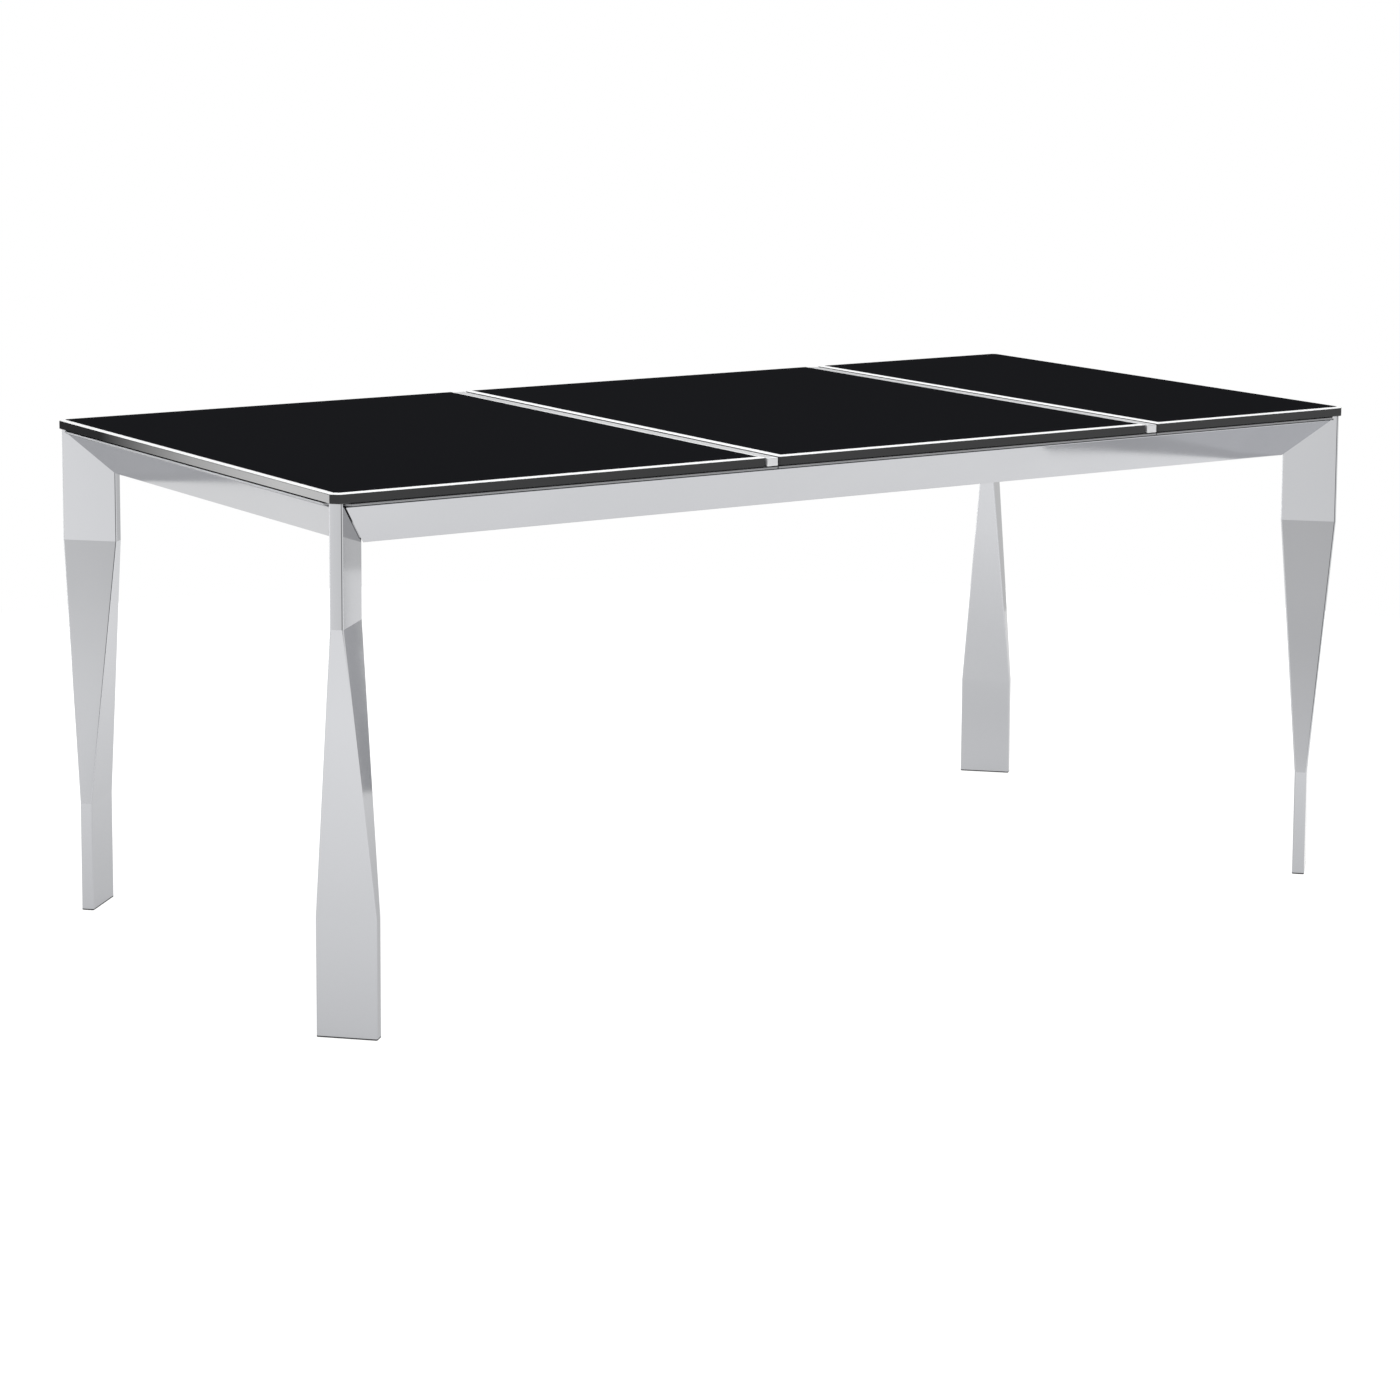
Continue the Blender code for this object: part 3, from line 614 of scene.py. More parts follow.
    def bevel(self, edges: Iterable[BMEdge], width: float, segments: int = 2) -> "Blank":
        """Bevel edges by a width."""
        bmesh.ops.bevel(
            self.bm, geom=list(edges), offset=width, offset_type="OFFSET", segments=segments,
            profile=0.5, affect="EDGES", clamp_overlap=True, material=-1)
        return self

    def edges(self, test: Callable[[Vector, Vector], bool]) -> List[BMEdge]:
        """Return the edges whose two ends pass a test."""
        return [edge for edge in self.bm.edges if test(edge.verts[0].co, edge.verts[1].co)]

    def sharp(self, angle: float = 40.0) -> List[BMEdge]:
        """Return the edges where the skin turns by more than an angle in degrees."""
        bmesh.ops.recalc_face_normals(self.bm, faces=self.bm.faces[:])
        return [edge for edge in self.bm.edges if edge.calc_face_angle(0.0) > math.radians(angle)]

    def ease(self, width: float, segments: int = 2) -> "Blank":
        """Bevel every sharp edge."""
        return self.bevel(self.sharp(), width, segments)

    def cut(self, point: Sequence[float], normal: Sequence[float]) -> "Blank":
        """Cut away what lies behind a plane and close the cut."""
        everything = self.bm.verts[:] + self.bm.edges[:] + self.bm.faces[:]
        made = bmesh.ops.bisect_plane(
            self.bm, geom=everything, dist=1e-7, plane_co=point, plane_no=normal, clear_inner=True)
        rim = [item for item in made["geom_cut"] if isinstance(item, BMEdge)]
        bmesh.ops.holes_fill(self.bm, edges=rim, sides=0)
        return self

    def move(self, matrix: Matrix) -> "Blank":
        """Move everything by a matrix."""
        bmesh.ops.transform(self.bm, matrix=matrix, verts=self.bm.verts[:])
        return self

    def mark(self, name: str, test: Callable[[BMFace], bool]) -> "Blank":
        """Store 1 under a name on the faces that pass a test, and 0 on the others."""
        self.bm.normal_update()
        layer = self.bm.faces.layers.float.new(name)
        for face in self.bm.faces:
            face[layer] = float(test(face))
        return self

    def add(self, other: "Blank") -> "Blank":
        """Take over another blank's mesh."""
        mesh = bpy.data.meshes.new("passed_on")
        other.bm.to_mesh(mesh)
        other.bm.free()
        self.bm.from_mesh(mesh)
        bpy.data.meshes.remove(mesh)
        return self

    def finish(
        self, name: str, body: Body, finish: Finish, replaces: Sequence[str] = (),
        creases: Sequence[float] = (), crease_angle: float = 35.0,
    ) -> bpy.types.Object:
        """Turn the blank into a finished piece of the table.

        Args:
            name: The piece's name.
            body: The body that it rides on.
            finish: Its surface finish.
            replaces: The frame's nodes that it stands for.
            creases: Heights at which level edges stay crisp however little they turn.
            crease_angle: The turn, in degrees, above which any edge stays crisp.

        Returns:
            The finished piece.
        """
        bmesh.ops.remove_doubles(self.bm, verts=self.bm.verts[:], dist=WELD_DISTANCE)
        bmesh.ops.recalc_face_normals(self.bm, faces=self.bm.faces[:])
        if not self.bm.faces:
            raise ValueError("%s has no faces" % name)
        limit = math.radians(crease_angle)
        for face in self.bm.faces:
            face.smooth = True
        for edge in self.bm.edges:
            heights = [vert.co.z for vert in edge.verts]
            creased = any(max(abs(height - level) for height in heights) < 1e-4 for level in creases)
            edge.smooth = not creased and edge.calc_face_angle(0.0) < limit
        mesh = bpy.data.meshes.new(name)
        self.bm.to_mesh(mesh)
        self.bm.free()
        mesh.materials.append(finish.material())
        piece = bpy.data.objects.new(name, mesh)
        bpy.context.scene.collection.objects.link(piece)
        normals = piece.modifiers.new("even_normals", "WEIGHTED_NORMAL")
        normals.keep_sharp = True
        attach(piece, body.value)
        if replaces:
            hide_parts(*replaces)
        log.info("%s: %d faces on %s", name, len(mesh.polygons), body.value)
        return piece


def rectangle(along: float, across: float) -> List[Plan]:
    """Return the plan of a rectangle about the origin, anticlockwise from the front left."""
    x, y = along / 2, across / 2
    return [(-x, -y), (x, -y), (x, y), (-x, y)]


def cut_rectangle(box: Box, cuts: Sequence[float]) -> List[Plan]:
    """Return a box's plan with cut corners.

    Args:
        box: The box.
        cuts: The length cut off both edges at the front left, front right, back right and back left.

    Returns:
        The outline's points, anticlockwise from the front left.
    """
    (x0, y0, _), (x1, y1, _) = box.low, box.high
    a, b, c, d = cuts
    return [
        (x0, y0 + a), (x0 + a, y0), (x1 - b, y0), (x1, y0 + b),
        (x1, y1 - c), (x1 - c, y1), (x0 + d, y1), (x0, y1 - d),
    ]


@dataclass(frozen=True)
class GlassPanels:
    """The top's three glass panels and the leaf's, each with a polished bevel round its top."""

    bevel_run: float = 0.008
    bevel_drop: float = 0.0015
    corner_cut: float = 0.010
    seam_nip: float = 0.0022
    lower_arris: float = 0.0008
    upper_arris: float = 0.0004

    def build(self) -> None:
        """Build every panel."""
        outer, nip = self.corner_cut, self.seam_nip
        self.panel("glass_panel_left", Body.MAIN, (outer, nip, nip, outer))
        self.panel("glass_panel_middle", Body.MAIN, (nip, nip, nip, nip))
        self.panel("glass_panel_end", Body.END, (nip, outer, outer, nip))
        self.panel("leaf_glass", Body.LEAF, (nip, nip, nip, nip))

    def panel(self, node: str, body: Body, cuts: Sequence[float]) -> None:
        """Build one panel in the place of a node."""
        box = Box.of(node)
        outline = cut_rectangle(box, cuts)
        blank = Blank.slab(outline, box.low.z, box.high.z - self.bevel_drop)
        blank.sharp()
        run = Vector((self.bevel_run, self.bevel_run, 0))
        shorter = [max(cut - self.bevel_run * (2 - math.sqrt(2)), self.upper_arris) for cut in cuts]
        pairs = list(zip(outline, cut_rectangle(Box(box.low + run, box.high - run), shorter)))
        top = [face for face in blank.bm.faces if face.normal.z > 0.9]
        for vert in blank.extrude(top, (0, 0, self.bevel_drop))[0].verts:
            vert.co.xy = min(pairs, key=lambda pair: (Vector(pair[0]) - vert.co.xy).length)[1]
        floor, rim = box.low.z + 1e-5, box.high.z - self.bevel_drop
        blank.bevel(blank.edges(lambda a, b: max(a.z, b.z) < floor), self.lower_arris, 1)
        on_rim = [edge for edge in blank.sharp(30.0) if all(abs(v.co.z - rim) < 1e-5 for v in edge.verts)]
        blank.bevel(on_rim, self.upper_arris, 2)
        # Mark the bevel faces that the glass finish colours light grey as a painted highlight.
        blank.mark(PAINTED_BEVEL_MARK, lambda face: 0.9 < face.normal.z < 0.999)
        blank.finish(node.replace("glass_panel", "top_glass"), body, GLASS, [node], crease_angle=20.0)


@dataclass(frozen=True)
class BackingPlates:
    """The thin plates that the glass is glued to, with their raised beds."""

    thickness: float = 0.003
    bed_inset: float = 0.006
    head_room: float = 0.0195
    edge: float = 0.0004

    def build(self) -> None:
        """Build every plate."""
        cut = self.head_room / DIAGONAL
        self.plate("backing_plate_left", Body.MAIN, (cut, 0.0, 0.0, cut))
        self.plate("backing_plate_middle", Body.MAIN, (0.0, 0.0, 0.0, 0.0))
        self.plate("backing_plate_end", Body.END, (0.0, cut, cut, 0.0))
        self.plate("leaf_backing_plate", Body.LEAF, (0.0, 0.0, 0.0, 0.0))

    def plate(self, node: str, body: Body, cuts: Sequence[float]) -> None:
        """Build one plate in the place of a node."""
        box = Box.of(node)
        rim = box.low.z + self.thickness
        outline = cut_rectangle(box, cuts)
        blank = Blank.slab([p for i, p in enumerate(outline) if p != outline[i - 1]], box.low.z, rim)
        blank.ease(self.edge, 2)
        top = [face for face in blank.bm.faces if face.normal.z > 0.99 and face.calc_area() > 0.01]
        inset = self.bed_inset - self.edge
        bmesh.ops.inset_region(blank.bm, faces=top, thickness=inset, use_even_offset=True)
        blank.extrude(top, (0.0, 0.0, box.high.z - rim))
        blank.finish(node + "_rim", body, SATIN_RIM, [node])


@dataclass(frozen=True)
class SeamBars:
    """The bright bars that close the seams between the panels."""

    edge: float = 0.0009

    def build(self) -> None:
        """Build the bars of both seams and of the leaf."""
        bars = {
            "divider_bar_left": Body.MAIN, "divider_bar_right": Body.MAIN, "leaf_divider_bar": Body.LEAF,
        }
        for node, body in bars.items():
            box = Box.of(node)
            Blank.block(box.low, box.high).ease(self.edge, 3).finish(node + "_drawn", body, SATIN_BAR, [node])


@dataclass(frozen=True)
class Legs:
    """Hollow legs: a slab on the diagonal that turns to a foot across it, each on a plastic glide."""

    width: float = 0.086
    thickness: float = 0.019
    upper_break: float = 0.567
    lower_break: float = 0.166
    head: float = 0.008
    edge_radius: float = 0.0025
    edge_steps: int = 5
    end_edge: float = 0.0004
    glide_edge: float = 0.0005
    glide_gap: float = 0.0003

    def build(self) -> None:
        """Build the legs and glides of all four corners."""
        for corner in Corner:
            self.leg(corner)
            self.glide(corner)

    def leg(self, corner: Corner) -> None:
        """Build one leg."""
        node = "leg_" + corner.label
        box, shoulder = Box.of(node), Box.of("apron_front").high.z
        blank = Blank()
        foot = [(x, y, box.low.z) for x, y in rectangle(self.thickness, self.width)]
        top = blank.extrude([blank.face(foot)], (0, 0, self.lower_break - box.low.z))
        top = blank.extrude(top, (0, 0, self.upper_break - self.lower_break))
        ratio = self.width / self.thickness
        bmesh.ops.scale(blank.bm, verts=top[0].verts[:], vec=(ratio, 1 / ratio, 1))
        top = blank.extrude(top, (0, 0, shoulder - self.upper_break))
        line = self.width / 2 - self.head
        skin = top + top[0].edges[:] + top[0].verts[:]
        bmesh.ops.bisect_plane(blank.bm, geom=skin, dist=1e-7, plane_co=(line, 0, 0), plane_no=(1, 0, 0))
        level = [f for f in blank.bm.faces if min(v.co.z for v in f.verts) > shoulder - 1e-6]
        outer = [f for f in level if f.calc_center_median().x > line]
        blank.extrude(outer, (0, 0, box.high.z - shoulder))
        bmesh.ops.dissolve_limit(
            blank.bm, angle_limit=math.radians(0.5), verts=blank.bm.verts[:], edges=blank.bm.edges[:])
        self.soften(blank, line)
        blank.move(self.stand(box, corner))
        blank.finish(node + "_shell", corner.body, MIRROR_STEEL, [node], (self.lower_break, self.upper_break))

    @staticmethod
    def stand(box: Box, corner: Corner) -> Matrix:
        """Return the matrix that stands a leg's or glide's stock at its corner."""
        return Matrix.Translation((box.centre.x, box.centre.y, 0)) @ Matrix.Rotation(corner.turn, 4, "Z")

    def soften(self, blank: Blank, line: float) -> None:
        """Round a leg's long edges, and ease its head."""
        def is_long(a: Vector, b: Vector) -> bool:
            """Whether an edge runs down the leg's outside."""
            inside = max(abs(a.x - line), abs(b.x - line)) < 1e-5
            return abs(a.z - b.z) > 0.8 * (a - b).length and not inside

        blank.bevel(blank.edges(is_long), self.edge_radius, self.edge_steps)
        high = blank.edges(lambda a, b: min(a.z, b.z) > self.upper_break + 0.01)
        ends = [edge for edge in high if edge.calc_face_angle(0.0) > math.radians(60)]
        blank.bevel(ends, self.end_edge, 2)

    def glide(self, corner: Corner) -> None:
        """Build one leg's glide."""
        node = "glide_" + corner.label
        box, leg = Box.of(node), Box.of("leg_" + corner.label)
        blank = Blank.slab(rectangle(self.thickness, self.width), box.low.z, leg.low.z - self.glide_gap)
        blank.bevel(blank.edges(lambda a, b: abs(a.z - b.z) > 1e-4), self.edge_radius, self.edge_steps)
        blank.bevel(blank.edges(lambda a, b: max(a.z, b.z) < box.low.z + 1e-5), self.glide_edge, 2)
        blank.move(self.stand(box, corner)).finish(node + "_pad", corner.body, PLASTIC, [node])


@dataclass(frozen=True)
class Aprons:
    """Folded sheet aprons that slope inwards, mitred to the legs, and the pull-out end's inner ones."""

    leg_thickness: float = 0.019
    open_gap: float = 0.0015
    welded_gap: float = 0.0003
    sheet: float = 0.002
    top_flange: float = 0.014
    bottom_flange: float = 0.012
    inner_sheet: float = 0.0015
    inner_flange: float = 0.008
    outer_bend: float = 0.0022
    inner_bend: float = 0.0008
    strip_edge: float = 0.0004

    def build(self) -> None:
        """Build the fixed, end and inner aprons and the strips on top of them."""
        for side in Side:
            node = "apron_" + side.label
            body = Body.END if side is Side.RIGHT else Body.MAIN
            gap = self.open_gap if side.is_long else self.welded_gap
            self.apron(node, side, body, gap, self.sheet, self.top_flange, self.bottom_flange)
            if side.is_long:
                node = "inner_" + node
                self.apron(node, side, Body.END, self.welded_gap, self.inner_sheet, self.inner_flange, 0.0)
        for label in ("front", "back", "left"):
            node = "spacer_strip_" + label
            box = Box.of(node)
            Blank.block(box.low, box.high).ease(self.strip_edge, 2).finish(
                node + "_foam", Body.MAIN, PLASTIC, [node])

    def apron(
        self, node: str, side: Side, body: Body, gap: float, sheet: float, top_flange: float,
        bottom_flange: float,
    ) -> None:
        """Build one apron in the place of a node.

        Args:
            node: The frame's node.
            side: The side that it runs along.
            body: The body that it rides on.
            gap: The clear gap to the legs' faces.
            sheet: The sheet's thickness.
            top_flange: The width of the flange at the top.
            bottom_flange: The width of the flange at the bottom; 0 leaves a plain edge.
        """
        home = Matrix.Rotation(-side.turn, 4, "Z")
        box = Box.of(node)
        corners = [home @ box.low, home @ box.high]
        low = Vector(min(pair) for pair in zip(*corners))
        high = Vector(max(pair) for pair in zip(*corners))
        edge = (home @ Vector(CAD_BOX[0])).y, (home @ Vector(CAD_BOX[1])).y
        reach = max(map(abs, edge))
        span = max(abs((home @ Vector(CAD_BOX[1])).x), abs((home @ Vector(CAD_BOX[0])).x))
        section, radii = self.section(low, high, sheet, top_flange, bottom_flange)
        blank = Blank.bar(section, radii, low.x if "inner" in node and side is Side.FRONT else -span, span)
        if "inner" in node and side is Side.BACK:
            blank = Blank.bar(section, radii, -span, high.x)
        offset = self.leg_thickness / 2 + gap
        for sign in (-1, 1):
            square = "inner" in node and sign == (-1 if side is Side.FRONT else 1)
            if not square:
                away = Vector((-sign, -1, 0)) * DIAGONAL
                blank.cut(Vector((sign * span, -reach, 0)) + away * offset, away)
        blank.move(Matrix.Rotation(side.turn, 4, "Z"))
        blank.finish(node + "_folded", body, MIRROR_STEEL, [node])

    def section(
        self, low: Vector, high: Vector, sheet: float, top_flange: float, bottom_flange: float,
    ) -> Tuple[List[Plan], List[float]]:
        """Return a folded section's (y, z) points and the radius at each.

        Args:
            low: The lowest corner of the apron's box, seen from its own side.
            high: The highest corner of that box.
            sheet: The sheet's thickness.
            top_flange: The width of the flange at the top.
            bottom_flange: The width of the flange at the bottom, or 0.

        Returns:
            The points, from the outer top edge down and back, and their radii.
        """
        top, bottom, outer = high.z, low.z, low.y
        slope_run = Box.of("apron_front").size.y - self.bottom_flange
        slope = slope_run / Box.of("apron_front").size.z
        through = sheet * math.hypot(slope, 1.0)
        foot = outer + slope * (top - bottom)
        points = [(outer, top), (foot, bottom)]
        radii = [self.outer_bend, self.outer_bend if bottom_flange else 0.0]
        if bottom_flange:
            back = outer + slope * (top - bottom - sheet) + through
            lip = foot + bottom_flange
            points += [(lip, bottom), (lip, bottom + sheet), (back, bottom + sheet)]
            radii += [0.0, 0.0, self.inner_bend]
        else:
            points.append((foot + through, bottom))
            radii.append(0.0)
        points += [(outer + slope * sheet + through, top - sheet), (outer + top_flange, top - sheet)]
        points.append((outer + top_flange, top))
        radii += [self.inner_bend, 0.0, 0.0]
        return points, radii


@dataclass(frozen=True)
class Fasteners:
    """Button-head socket screws, and the beads of the frame's welds."""

    head_radius: float = 0.0055
    head_height: float = 0.0028
    socket_radius: float = 0.0022
    socket_depth: float = 0.0016
    steps: int = 24
    bead_radius: float = 0.0017
    bead_pitch: float = 0.0022

    def screw(self, place: Sequence[float]) -> Blank:
        """Return a screw head that hangs below a point on a lower face."""
        radius, height = self.head_radius, self.head_height
        blank = Blank.turned(
            ((0.0, 0.0), (radius, 0.0), (radius, height * 0.35), (radius * 0.86, height * 0.78),
             (radius * 0.60, height), (0.0, height)), (0, 0, 0), self.steps)
        crown = [f for f in blank.bm.faces if f.calc_center_median().z > height * 0.999]
        bmesh.ops.dissolve_faces(blank.bm, faces=crown)
        crown = [f for f in blank.bm.faces if f.calc_center_median().z > height * 0.999]
        bmesh.ops.inset_region(blank.bm, faces=crown, thickness=radius * 0.12)
        for vert in crown[0].verts:
            self.to_hexagon(vert, self.socket_radius)
        blank.extrude(crown, (0, 0, -self.socket_depth))
        return blank.move(Matrix.Translation(Vector(place)) @ Matrix.Rotation(math.pi, 4, "X"))

    @staticmethod
    def to_hexagon(vert: BMVert, radius: float) -> None:
        """Move a vertex of a ring radially onto a hexagon."""
        angle = math.atan2(vert.co.y, vert.co.x)
        sector = math.pi / 3
        off = angle % sector - sector / 2
        reach = radius * math.cos(sector / 2) / math.cos(off)
        vert.co.x = reach * math.cos(angle)
        vert.co.y = reach * math.sin(angle)

    def group(self, name: str, body: Body, places: Iterable[Sequence[float]]) -> None:
        """Build one group of equal screws."""
        blank = Blank()
        for place in places:
            blank.add(self.screw(place))
        blank.finish(name, body, BRIGHT_FASTENER)

    def bead(self, start: Sequence[float], end: Sequence[float]) -> Blank:
        """Return a rippled weld bead between two points."""
        start, end = Vector(start), Vector(end)
        count = max(2, round((end - start).length / self.bead_pitch))
        blank = Blank()
        for step in range(count + 1):
            place = start.lerp(end, step / count)
            bmesh.ops.create_icosphere(
                blank.bm, subdivisions=1, radius=self.bead_radius, matrix=Matrix.Translation(place))
        return blank


@dataclass(frozen=True)
class UnderFrame:
    """The tubes and beams under the top, the leaf's runners, brackets, welds, plugs and screws."""

    wall: float = 0.002
    tube_radius: float = 0.003
    plug_sink: float = 0.0006
    plug_gap: float = 0.0002
    plug_edge: float = 0.0008
    plug_depth: float = 0.008
    bead_sink: float = 0.0012
    bead_margin: float = 0.003
    bracket_screw: float = 0.014
    runner_edge: float = 0.0008
    fasteners: Fasteners = Fasteners()

    def build(self) -> None:
        """Build everything under the top that doesn't slide by itself."""
        tubes = {
            "main_rail_front": (0, Body.MAIN), "main_rail_back": (0, Body.MAIN),
            "left_end_beam": (1, Body.MAIN), "cross_beam_1": (1, Body.MAIN), "cross_beam_2": (1, Body.MAIN),
            "cross_beam_3": (1, Body.MAIN), "end_rail_front": (0, Body.END), "end_rail_back": (0, Body.END),
            "end_beam": (1, Body.END),
        }
        for node, (axis, body) in tubes.items():
            tube = Blank.tube(Box.of(node), axis, self.wall, self.tube_radius)
            tube.finish(node + "_tube", body, COAT, [node])
        for label in ("front", "back"):
            node = "leaf_runner_" + label
            box = Box.of(node)
            runner = Blank.block(box.low, box.high).ease(self.runner_edge, 3)
            runner.finish(node + "_bar", Body.MAIN, COAT, [node])
        self.brackets()
        self.plugs()
        self.welds()
        self.screws()

    def brackets(self) -> None:
        """Give the cast brackets that stay as they are their coat."""
        kept = ["leg_bracket_" + corner.label for corner in Corner]
        kept += ["apron_bracket_%s_%d" % (label, number) for label in ("front", "back") for number in (1, 2)]
        for node in kept:
            dress(node, COAT)

    def plugs(self) -> None:
        """Close the open tube ends with plastic plugs."""
        ends = {
            "main_rail_front": (0, (1, 0), Body.MAIN), "main_rail_back": (0, (1, 0), Body.MAIN),
            "end_rail_front": (0, (0,), Body.END), "end_rail_back": (0, (0,), Body.END),
            "end_beam": (1, (0, 1), Body.END),
        }
        for node, (axis, sides, body) in ends.items():
            box = Box.of(node)
            margin = Vector((self.wall + self.plug_gap,) * 3)
            blank = Blank()
            for side in sides:
                low, high = box.low + margin, box.high - margin
                sunk = (box.low[axis] + self.plug_sink, box.high[axis] - self.plug_sink - self.plug_depth)
                low[axis] = sunk[side]
                high[axis] = low[axis] + self.plug_depth
                blank.add(Blank.block(low, high).ease(self.plug_edge, 2))
            blank.finish(node + "_plugs", body, PLASTIC)

    def welds(self) -> None:
        """Lay the beads where the beams meet the rails."""
        rail = Box.of("main_rail_front")
        inner = min(abs(rail.high.y), abs(rail.low.y)) - self.bead_sink
        main, end = Blank(), Blank()
        for node in ("left_end_beam", "cross_beam_1", "cross_beam_2", "cross_beam_3"):
            box = Box.of(node)
            for y in (-inner, inner):
                for x in (box.low.x, box.high.x):
                    self.lay(main, x, y, box)
        main.finish("rail_weld_beads", Body.MAIN, COAT)
        for label in ("front", "back"):
            rail = Box.of("end_rail_" + label)
            for y in (rail.low.y, rail.high.y):
                self.lay(end, Box.of("end_beam").low.x - self.bead_sink, y, rail)
        end.finish("end_weld_beads", Body.END, COAT)

    def lay(self, weld: Blank, x: float, y: float, box: Box) -> None:
        """Add one upright bead beside a box to a weld."""
        low, high = (x, y, box.low.z + self.bead_margin), (x, y, box.high.z - self.bead_margin)
        weld.add(self.fasteners.bead(low, high))

    def screws(self) -> None:
        """Set the screws that show from below."""
        main, end = [], []
        for number in (1, 2, 3):
            beam = Box.of("cross_beam_%d" % number)
            for label in ("front", "back"):
                runner = Box.of("leaf_runner_" + label)
                main.append((beam.centre.x, runner.centre.y, beam.low.z))
        for label in ("front", "back"):
            rail = Box.of("main_rail_" + label)
            for share in (0.06, 0.28, 0.50, 0.72, 0.94):
                main.append((rail.low.x + share * rail.size.x, rail.centre.y, rail.low.z))
            for number in (1, 2):
                bracket = Box.of("apron_bracket_%s_%d" % (label, number))
                inwards = -1 if label == "back" else 1
                edge = bracket.high.y if label == "front" else bracket.low.y
                main.append((bracket.centre.x, edge - inwards * self.bracket_screw, bracket.low.z))
        for corner in Corner:
            bracket = Box.of("leg_bracket_" + corner.label)
            place = (bracket.centre.x, bracket.centre.y, bracket.low.z)
            (main if corner.body is Body.MAIN else end).append(place)
        beam = Box.of("end_beam")
        for share in (0.12, 0.5, 0.88):
            end.append((beam.centre.x, beam.low.y + share * beam.size.y, beam.low.z))
        self.fasteners.group("main_frame_screws", Body.MAIN, main)
        self.fasteners.group("end_frame_screws", Body.END, end)


@dataclass(frozen=True)
class Slides:
    """The three nested members of each telescopic slide."""

    wall: float = 0.0015
    outer_bend: float = 0.0018
    inner_bend: float = 0.0004
    rivet_radius: float = 0.003

    def build(self) -> None:
        """Build both slides."""
        for label, middle in (("front", Body.SLIDE_FRONT), ("back", Body.SLIDE_BACK)):
            opens_out = 1 if label == "back" else -1
            self.member("slide_outer_" + label, Body.MAIN, opens_out)
            self.member("slide_middle_" + label, middle, opens_out)
            self.member("slide_inner_" + label, Body.END, -opens_out)

    def member(self, node: str, body: Body, opening: int) -> None:
        """Build one channel.

        Args:
            node: The frame's node.
            body: The body that it rides on.
            opening: The sign of Y that its open side faces.
        """
        box = Box.of(node)
        web, lip = (box.low.y, box.high.y) if opening > 0 else (box.high.y, box.low.y)
        back = web + opening * self.wall
        low, high, wall = box.low.z, box.high.z, self.wall
        section = [
            (web, high), (lip, high), (lip, high - wall), (back, high - wall),
            (back, low + wall), (lip, low + wall), (lip, low), (web, low),
        ]
        out, inn = self.outer_bend, self.inner_bend
        blank = Blank.bar(section, [out, 0, 0, inn, inn, 0, 0, out], box.low.x, box.high.x)
        blank.finish(node + "_rolled", body, ZINC, [node])


@dataclass(frozen=True)
class Locks:
    """The two hooked top locks with their pivots and keepers."""

    ribs: int = 3
    rib_radius: float = 0.0006
    rib_edge: float = 0.0002
    rib_pitch: float = 0.00143
    tip_margin: float = 0.0016
    side_margin: float = 0.002

    def build(self) -> None:
        """Dress the locks' nodes and add the levers' finger ribs."""
        for label, body in (("front", Body.LOCK_FRONT), ("back", Body.LOCK_BACK)):
            dress("lock_pivot_" + label, ZINC)
            dress("lock_keeper_" + label, ZINC)
            dress("lock_lever_" + label, PLASTIC)
            box = Box.of("lock_lever_" + label)
            inwards = 1 if label == "front" else -1
            tip = box.high.y if label == "front" else box.low.y
            blank = Blank()
            for step in range(self.ribs):
                y = tip - inwards * (self.tip_margin + step * self.rib_pitch)
                low = (box.low.x + self.side_margin, y - self.rib_radius / 2, box.low.z - self.rib_radius)
                high = (box.centre.x, y + self.rib_radius / 2, box.low.z + self.rib_radius)
                blank.add(Blank.block(low, high).ease(self.rib_edge, 1))
            blank.finish("lock_ribs_" + label, body, PLASTIC)


def dress(node: str, finish: Finish) -> None:
    """Give a node of the frame that stays in view its finish."""
    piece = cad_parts[node]
    piece.data.materials.clear()
    piece.data.materials.append(finish.material())
    log.info("%s: dressed with %s", node, finish.label)


@dataclass(frozen=True)
class Softbox:
    """A soft light: where it stands, what it points at, its size and its brightness."""

    label: str
    place: Point
    aim: Point
    width: float
    height: float
    radiance: float

    def build(self) -> None:
        """Hang the light."""
        data = bpy.data.lights.new(self.label, "AREA")
        data.shape = "RECTANGLE"
        data.size = self.width
        data.size_y = self.height
        data.energy = self.radiance * math.pi * self.width * self.height
        lamp = bpy.data.objects.new(self.label, data)
        lamp.location = self.place
        lamp.rotation_euler = (Vector(self.aim) - Vector(self.place)).to_track_quat("-Z", "Y").to_euler()
        lamp.visible_camera = False
        bpy.context.scene.collection.objects.link(lamp)


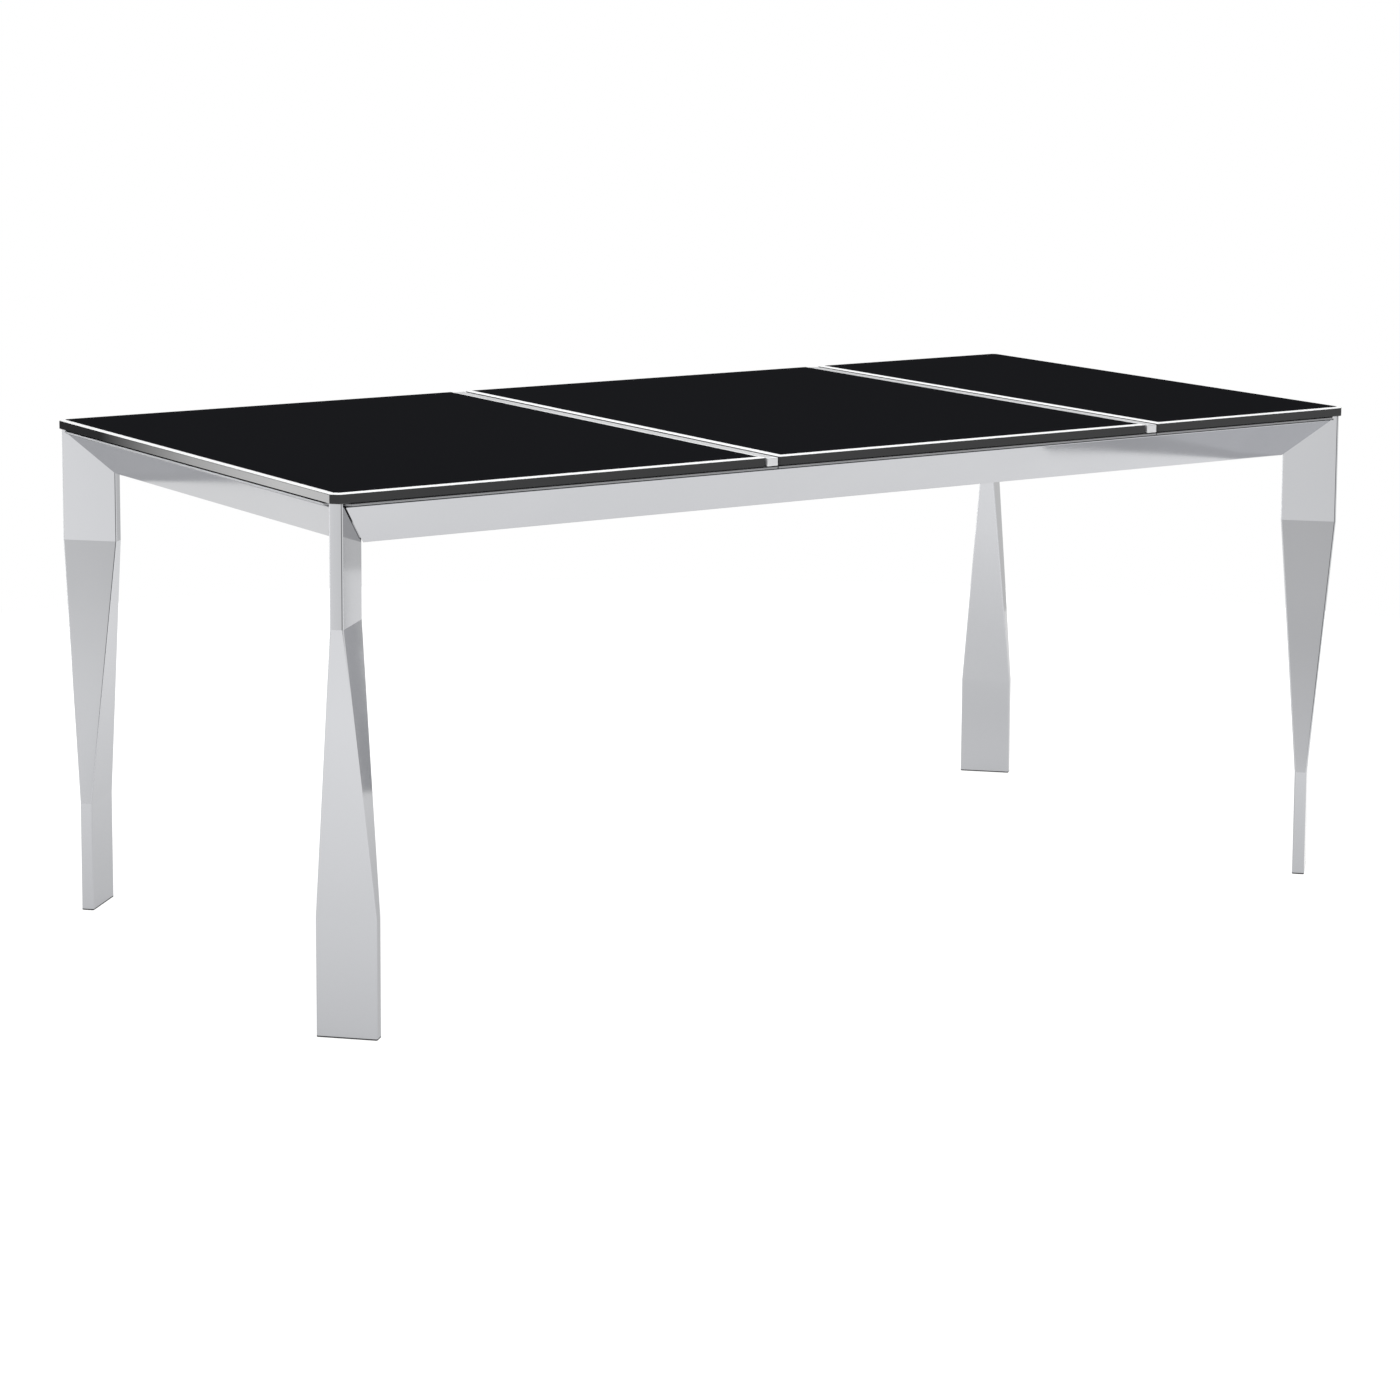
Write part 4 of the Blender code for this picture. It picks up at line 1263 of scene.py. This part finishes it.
@dataclass(frozen=True)
class Studio:
    """The floor, lights, surroundings and camera."""

    camera_place: Point = (-3.0916, -4.6539, 1.4602)
    heading: float = 33.361
    pitch: float = -7.359
    roll: float = 0.315
    focal_length: float = 93.45
    shift_y: float = -0.2
    floor_radius: float = 2.8
    floor_drop: float = 0.0004
    brightest: float = 5.0
    cards: Tuple[Tuple[float, float], ...] = (
        (-170, 1.15), (-157, 1.15), (-151, 0.90), (-136, 0.98), (-128, 0.20), (-88, 0.20), (-72, 1.0),
        (-5, 1.0), (8, 0.85), (42, 0.85), (60, 0.95), (100, 0.9), (108, 0.15), (115.25, 0.15), (115.35, 4.5),
        (124, 4.5), (128, 1.0))
    softboxes: Tuple[Softbox, ...] = (
        Softbox("overhead", (0.0, 0.0, 3.6), (0.0, 0.0, 0.0), 5.0, 4.0, 3.3),
        Softbox("back_strip", (2.0, 3.4, 4.6), (0.0, 0.0, 0.7), 6.6, 1.5, 2.4),
    )

    def build(self) -> None:
        """Set up the studio."""
        bpy.context.scene.view_settings.view_transform = "Standard"
        self.floor()
        self.surroundings()
        for softbox in self.softboxes:
            softbox.build()
        self.camera()

    def floor(self) -> None:
        """Lay the floor."""
        bm = bmesh.new()
        place = Matrix.Translation((0, 0, -self.floor_drop))
        bmesh.ops.create_circle(bm, cap_ends=True, segments=128, radius=self.floor_radius, matrix=place)
        mesh = bpy.data.meshes.new("studio_floor")
        bm.to_mesh(mesh)
        bm.free()
        mesh.materials.append(FLOOR.material())
        floor = bpy.data.objects.new("studio_floor", mesh)
        bpy.context.scene.collection.objects.link(floor)

    def surroundings(self) -> None:
        """Write the surroundings: a white sweep up to eye level, and a dark hall above it."""
        world = bpy.data.worlds.new("studio")
        bpy.context.scene.world = world
        sheet = ShaderSheet(world, "ShaderNodeOutputWorld")
        direction = sheet.node("ShaderNodeTexCoord", output="Generated")
        east, north, height = (
            sheet.node("ShaderNodeSeparateXYZ", None, {0: direction}, axis) for axis in "XYZ")
        turn = sheet.node("ShaderNodeMath", {"operation": "ARCTAN2"}, {0: north, 1: east})
        round_about = sheet.ramp(turn * (0.5 / math.pi) + 0.5, self.card_stops())
        fade = sheet.ramp(height * 0.5 + 0.5, (
            (0.40, 1.0), (0.475, 1.0), (0.49, 0.75), (0.515, 0.75), (0.540, 0.012), (0.9, 0.012)))
        glow = round_about * fade * self.brightest
        seen = sheet.node("ShaderNodeLightPath", output="Is Camera Ray")
        colour = sheet.blend(seen, glow, (1.0, 1.0, 1.0))
        shader = sheet.node("ShaderNodeBackground", None, {"Color": colour, "Strength": 1.0})
        sheet.feed(sheet.output.inputs["Surface"], shader)

    def card_stops(self) -> List[Tuple[float, float]]:
        """Return the bearing cards as ramp stops from 0 to 1 round the studio."""
        return [((bearing + 180) / 360, glow / self.brightest) for bearing, glow in self.cards]

    def camera(self) -> None:
        """Set the camera."""
        data = bpy.data.cameras.new("studio_camera")
        data.lens = self.focal_length
        data.shift_y = self.shift_y
        camera = bpy.data.objects.new("studio_camera", data)
        turn = Matrix.Rotation(math.radians(-self.heading), 4, "Z")
        tilt = Matrix.Rotation(math.radians(90 + self.pitch), 4, "X")
        lean = Matrix.Rotation(math.radians(self.roll), 4, "Z")
        camera.matrix_world = Matrix.Translation(self.camera_place) @ turn @ tilt @ lean
        bpy.context.scene.collection.objects.link(camera)
        bpy.context.scene.camera = camera


def write_sizes() -> None:
    """Update the view layer."""
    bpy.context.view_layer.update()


def main() -> None:
    """Build the table and its studio."""
    logging.basicConfig(level=logging.INFO, format="%(name)s: %(message)s")
    kinds = (GlassPanels, BackingPlates, SeamBars, Legs, Aprons, UnderFrame, Slides, Locks)
    for assembly in (kind() for kind in kinds):
        log.info("building %s", type(assembly).__name__)
        assembly.build()
    Studio().build()
    write_sizes()


if __name__ == "__main__":
    main()
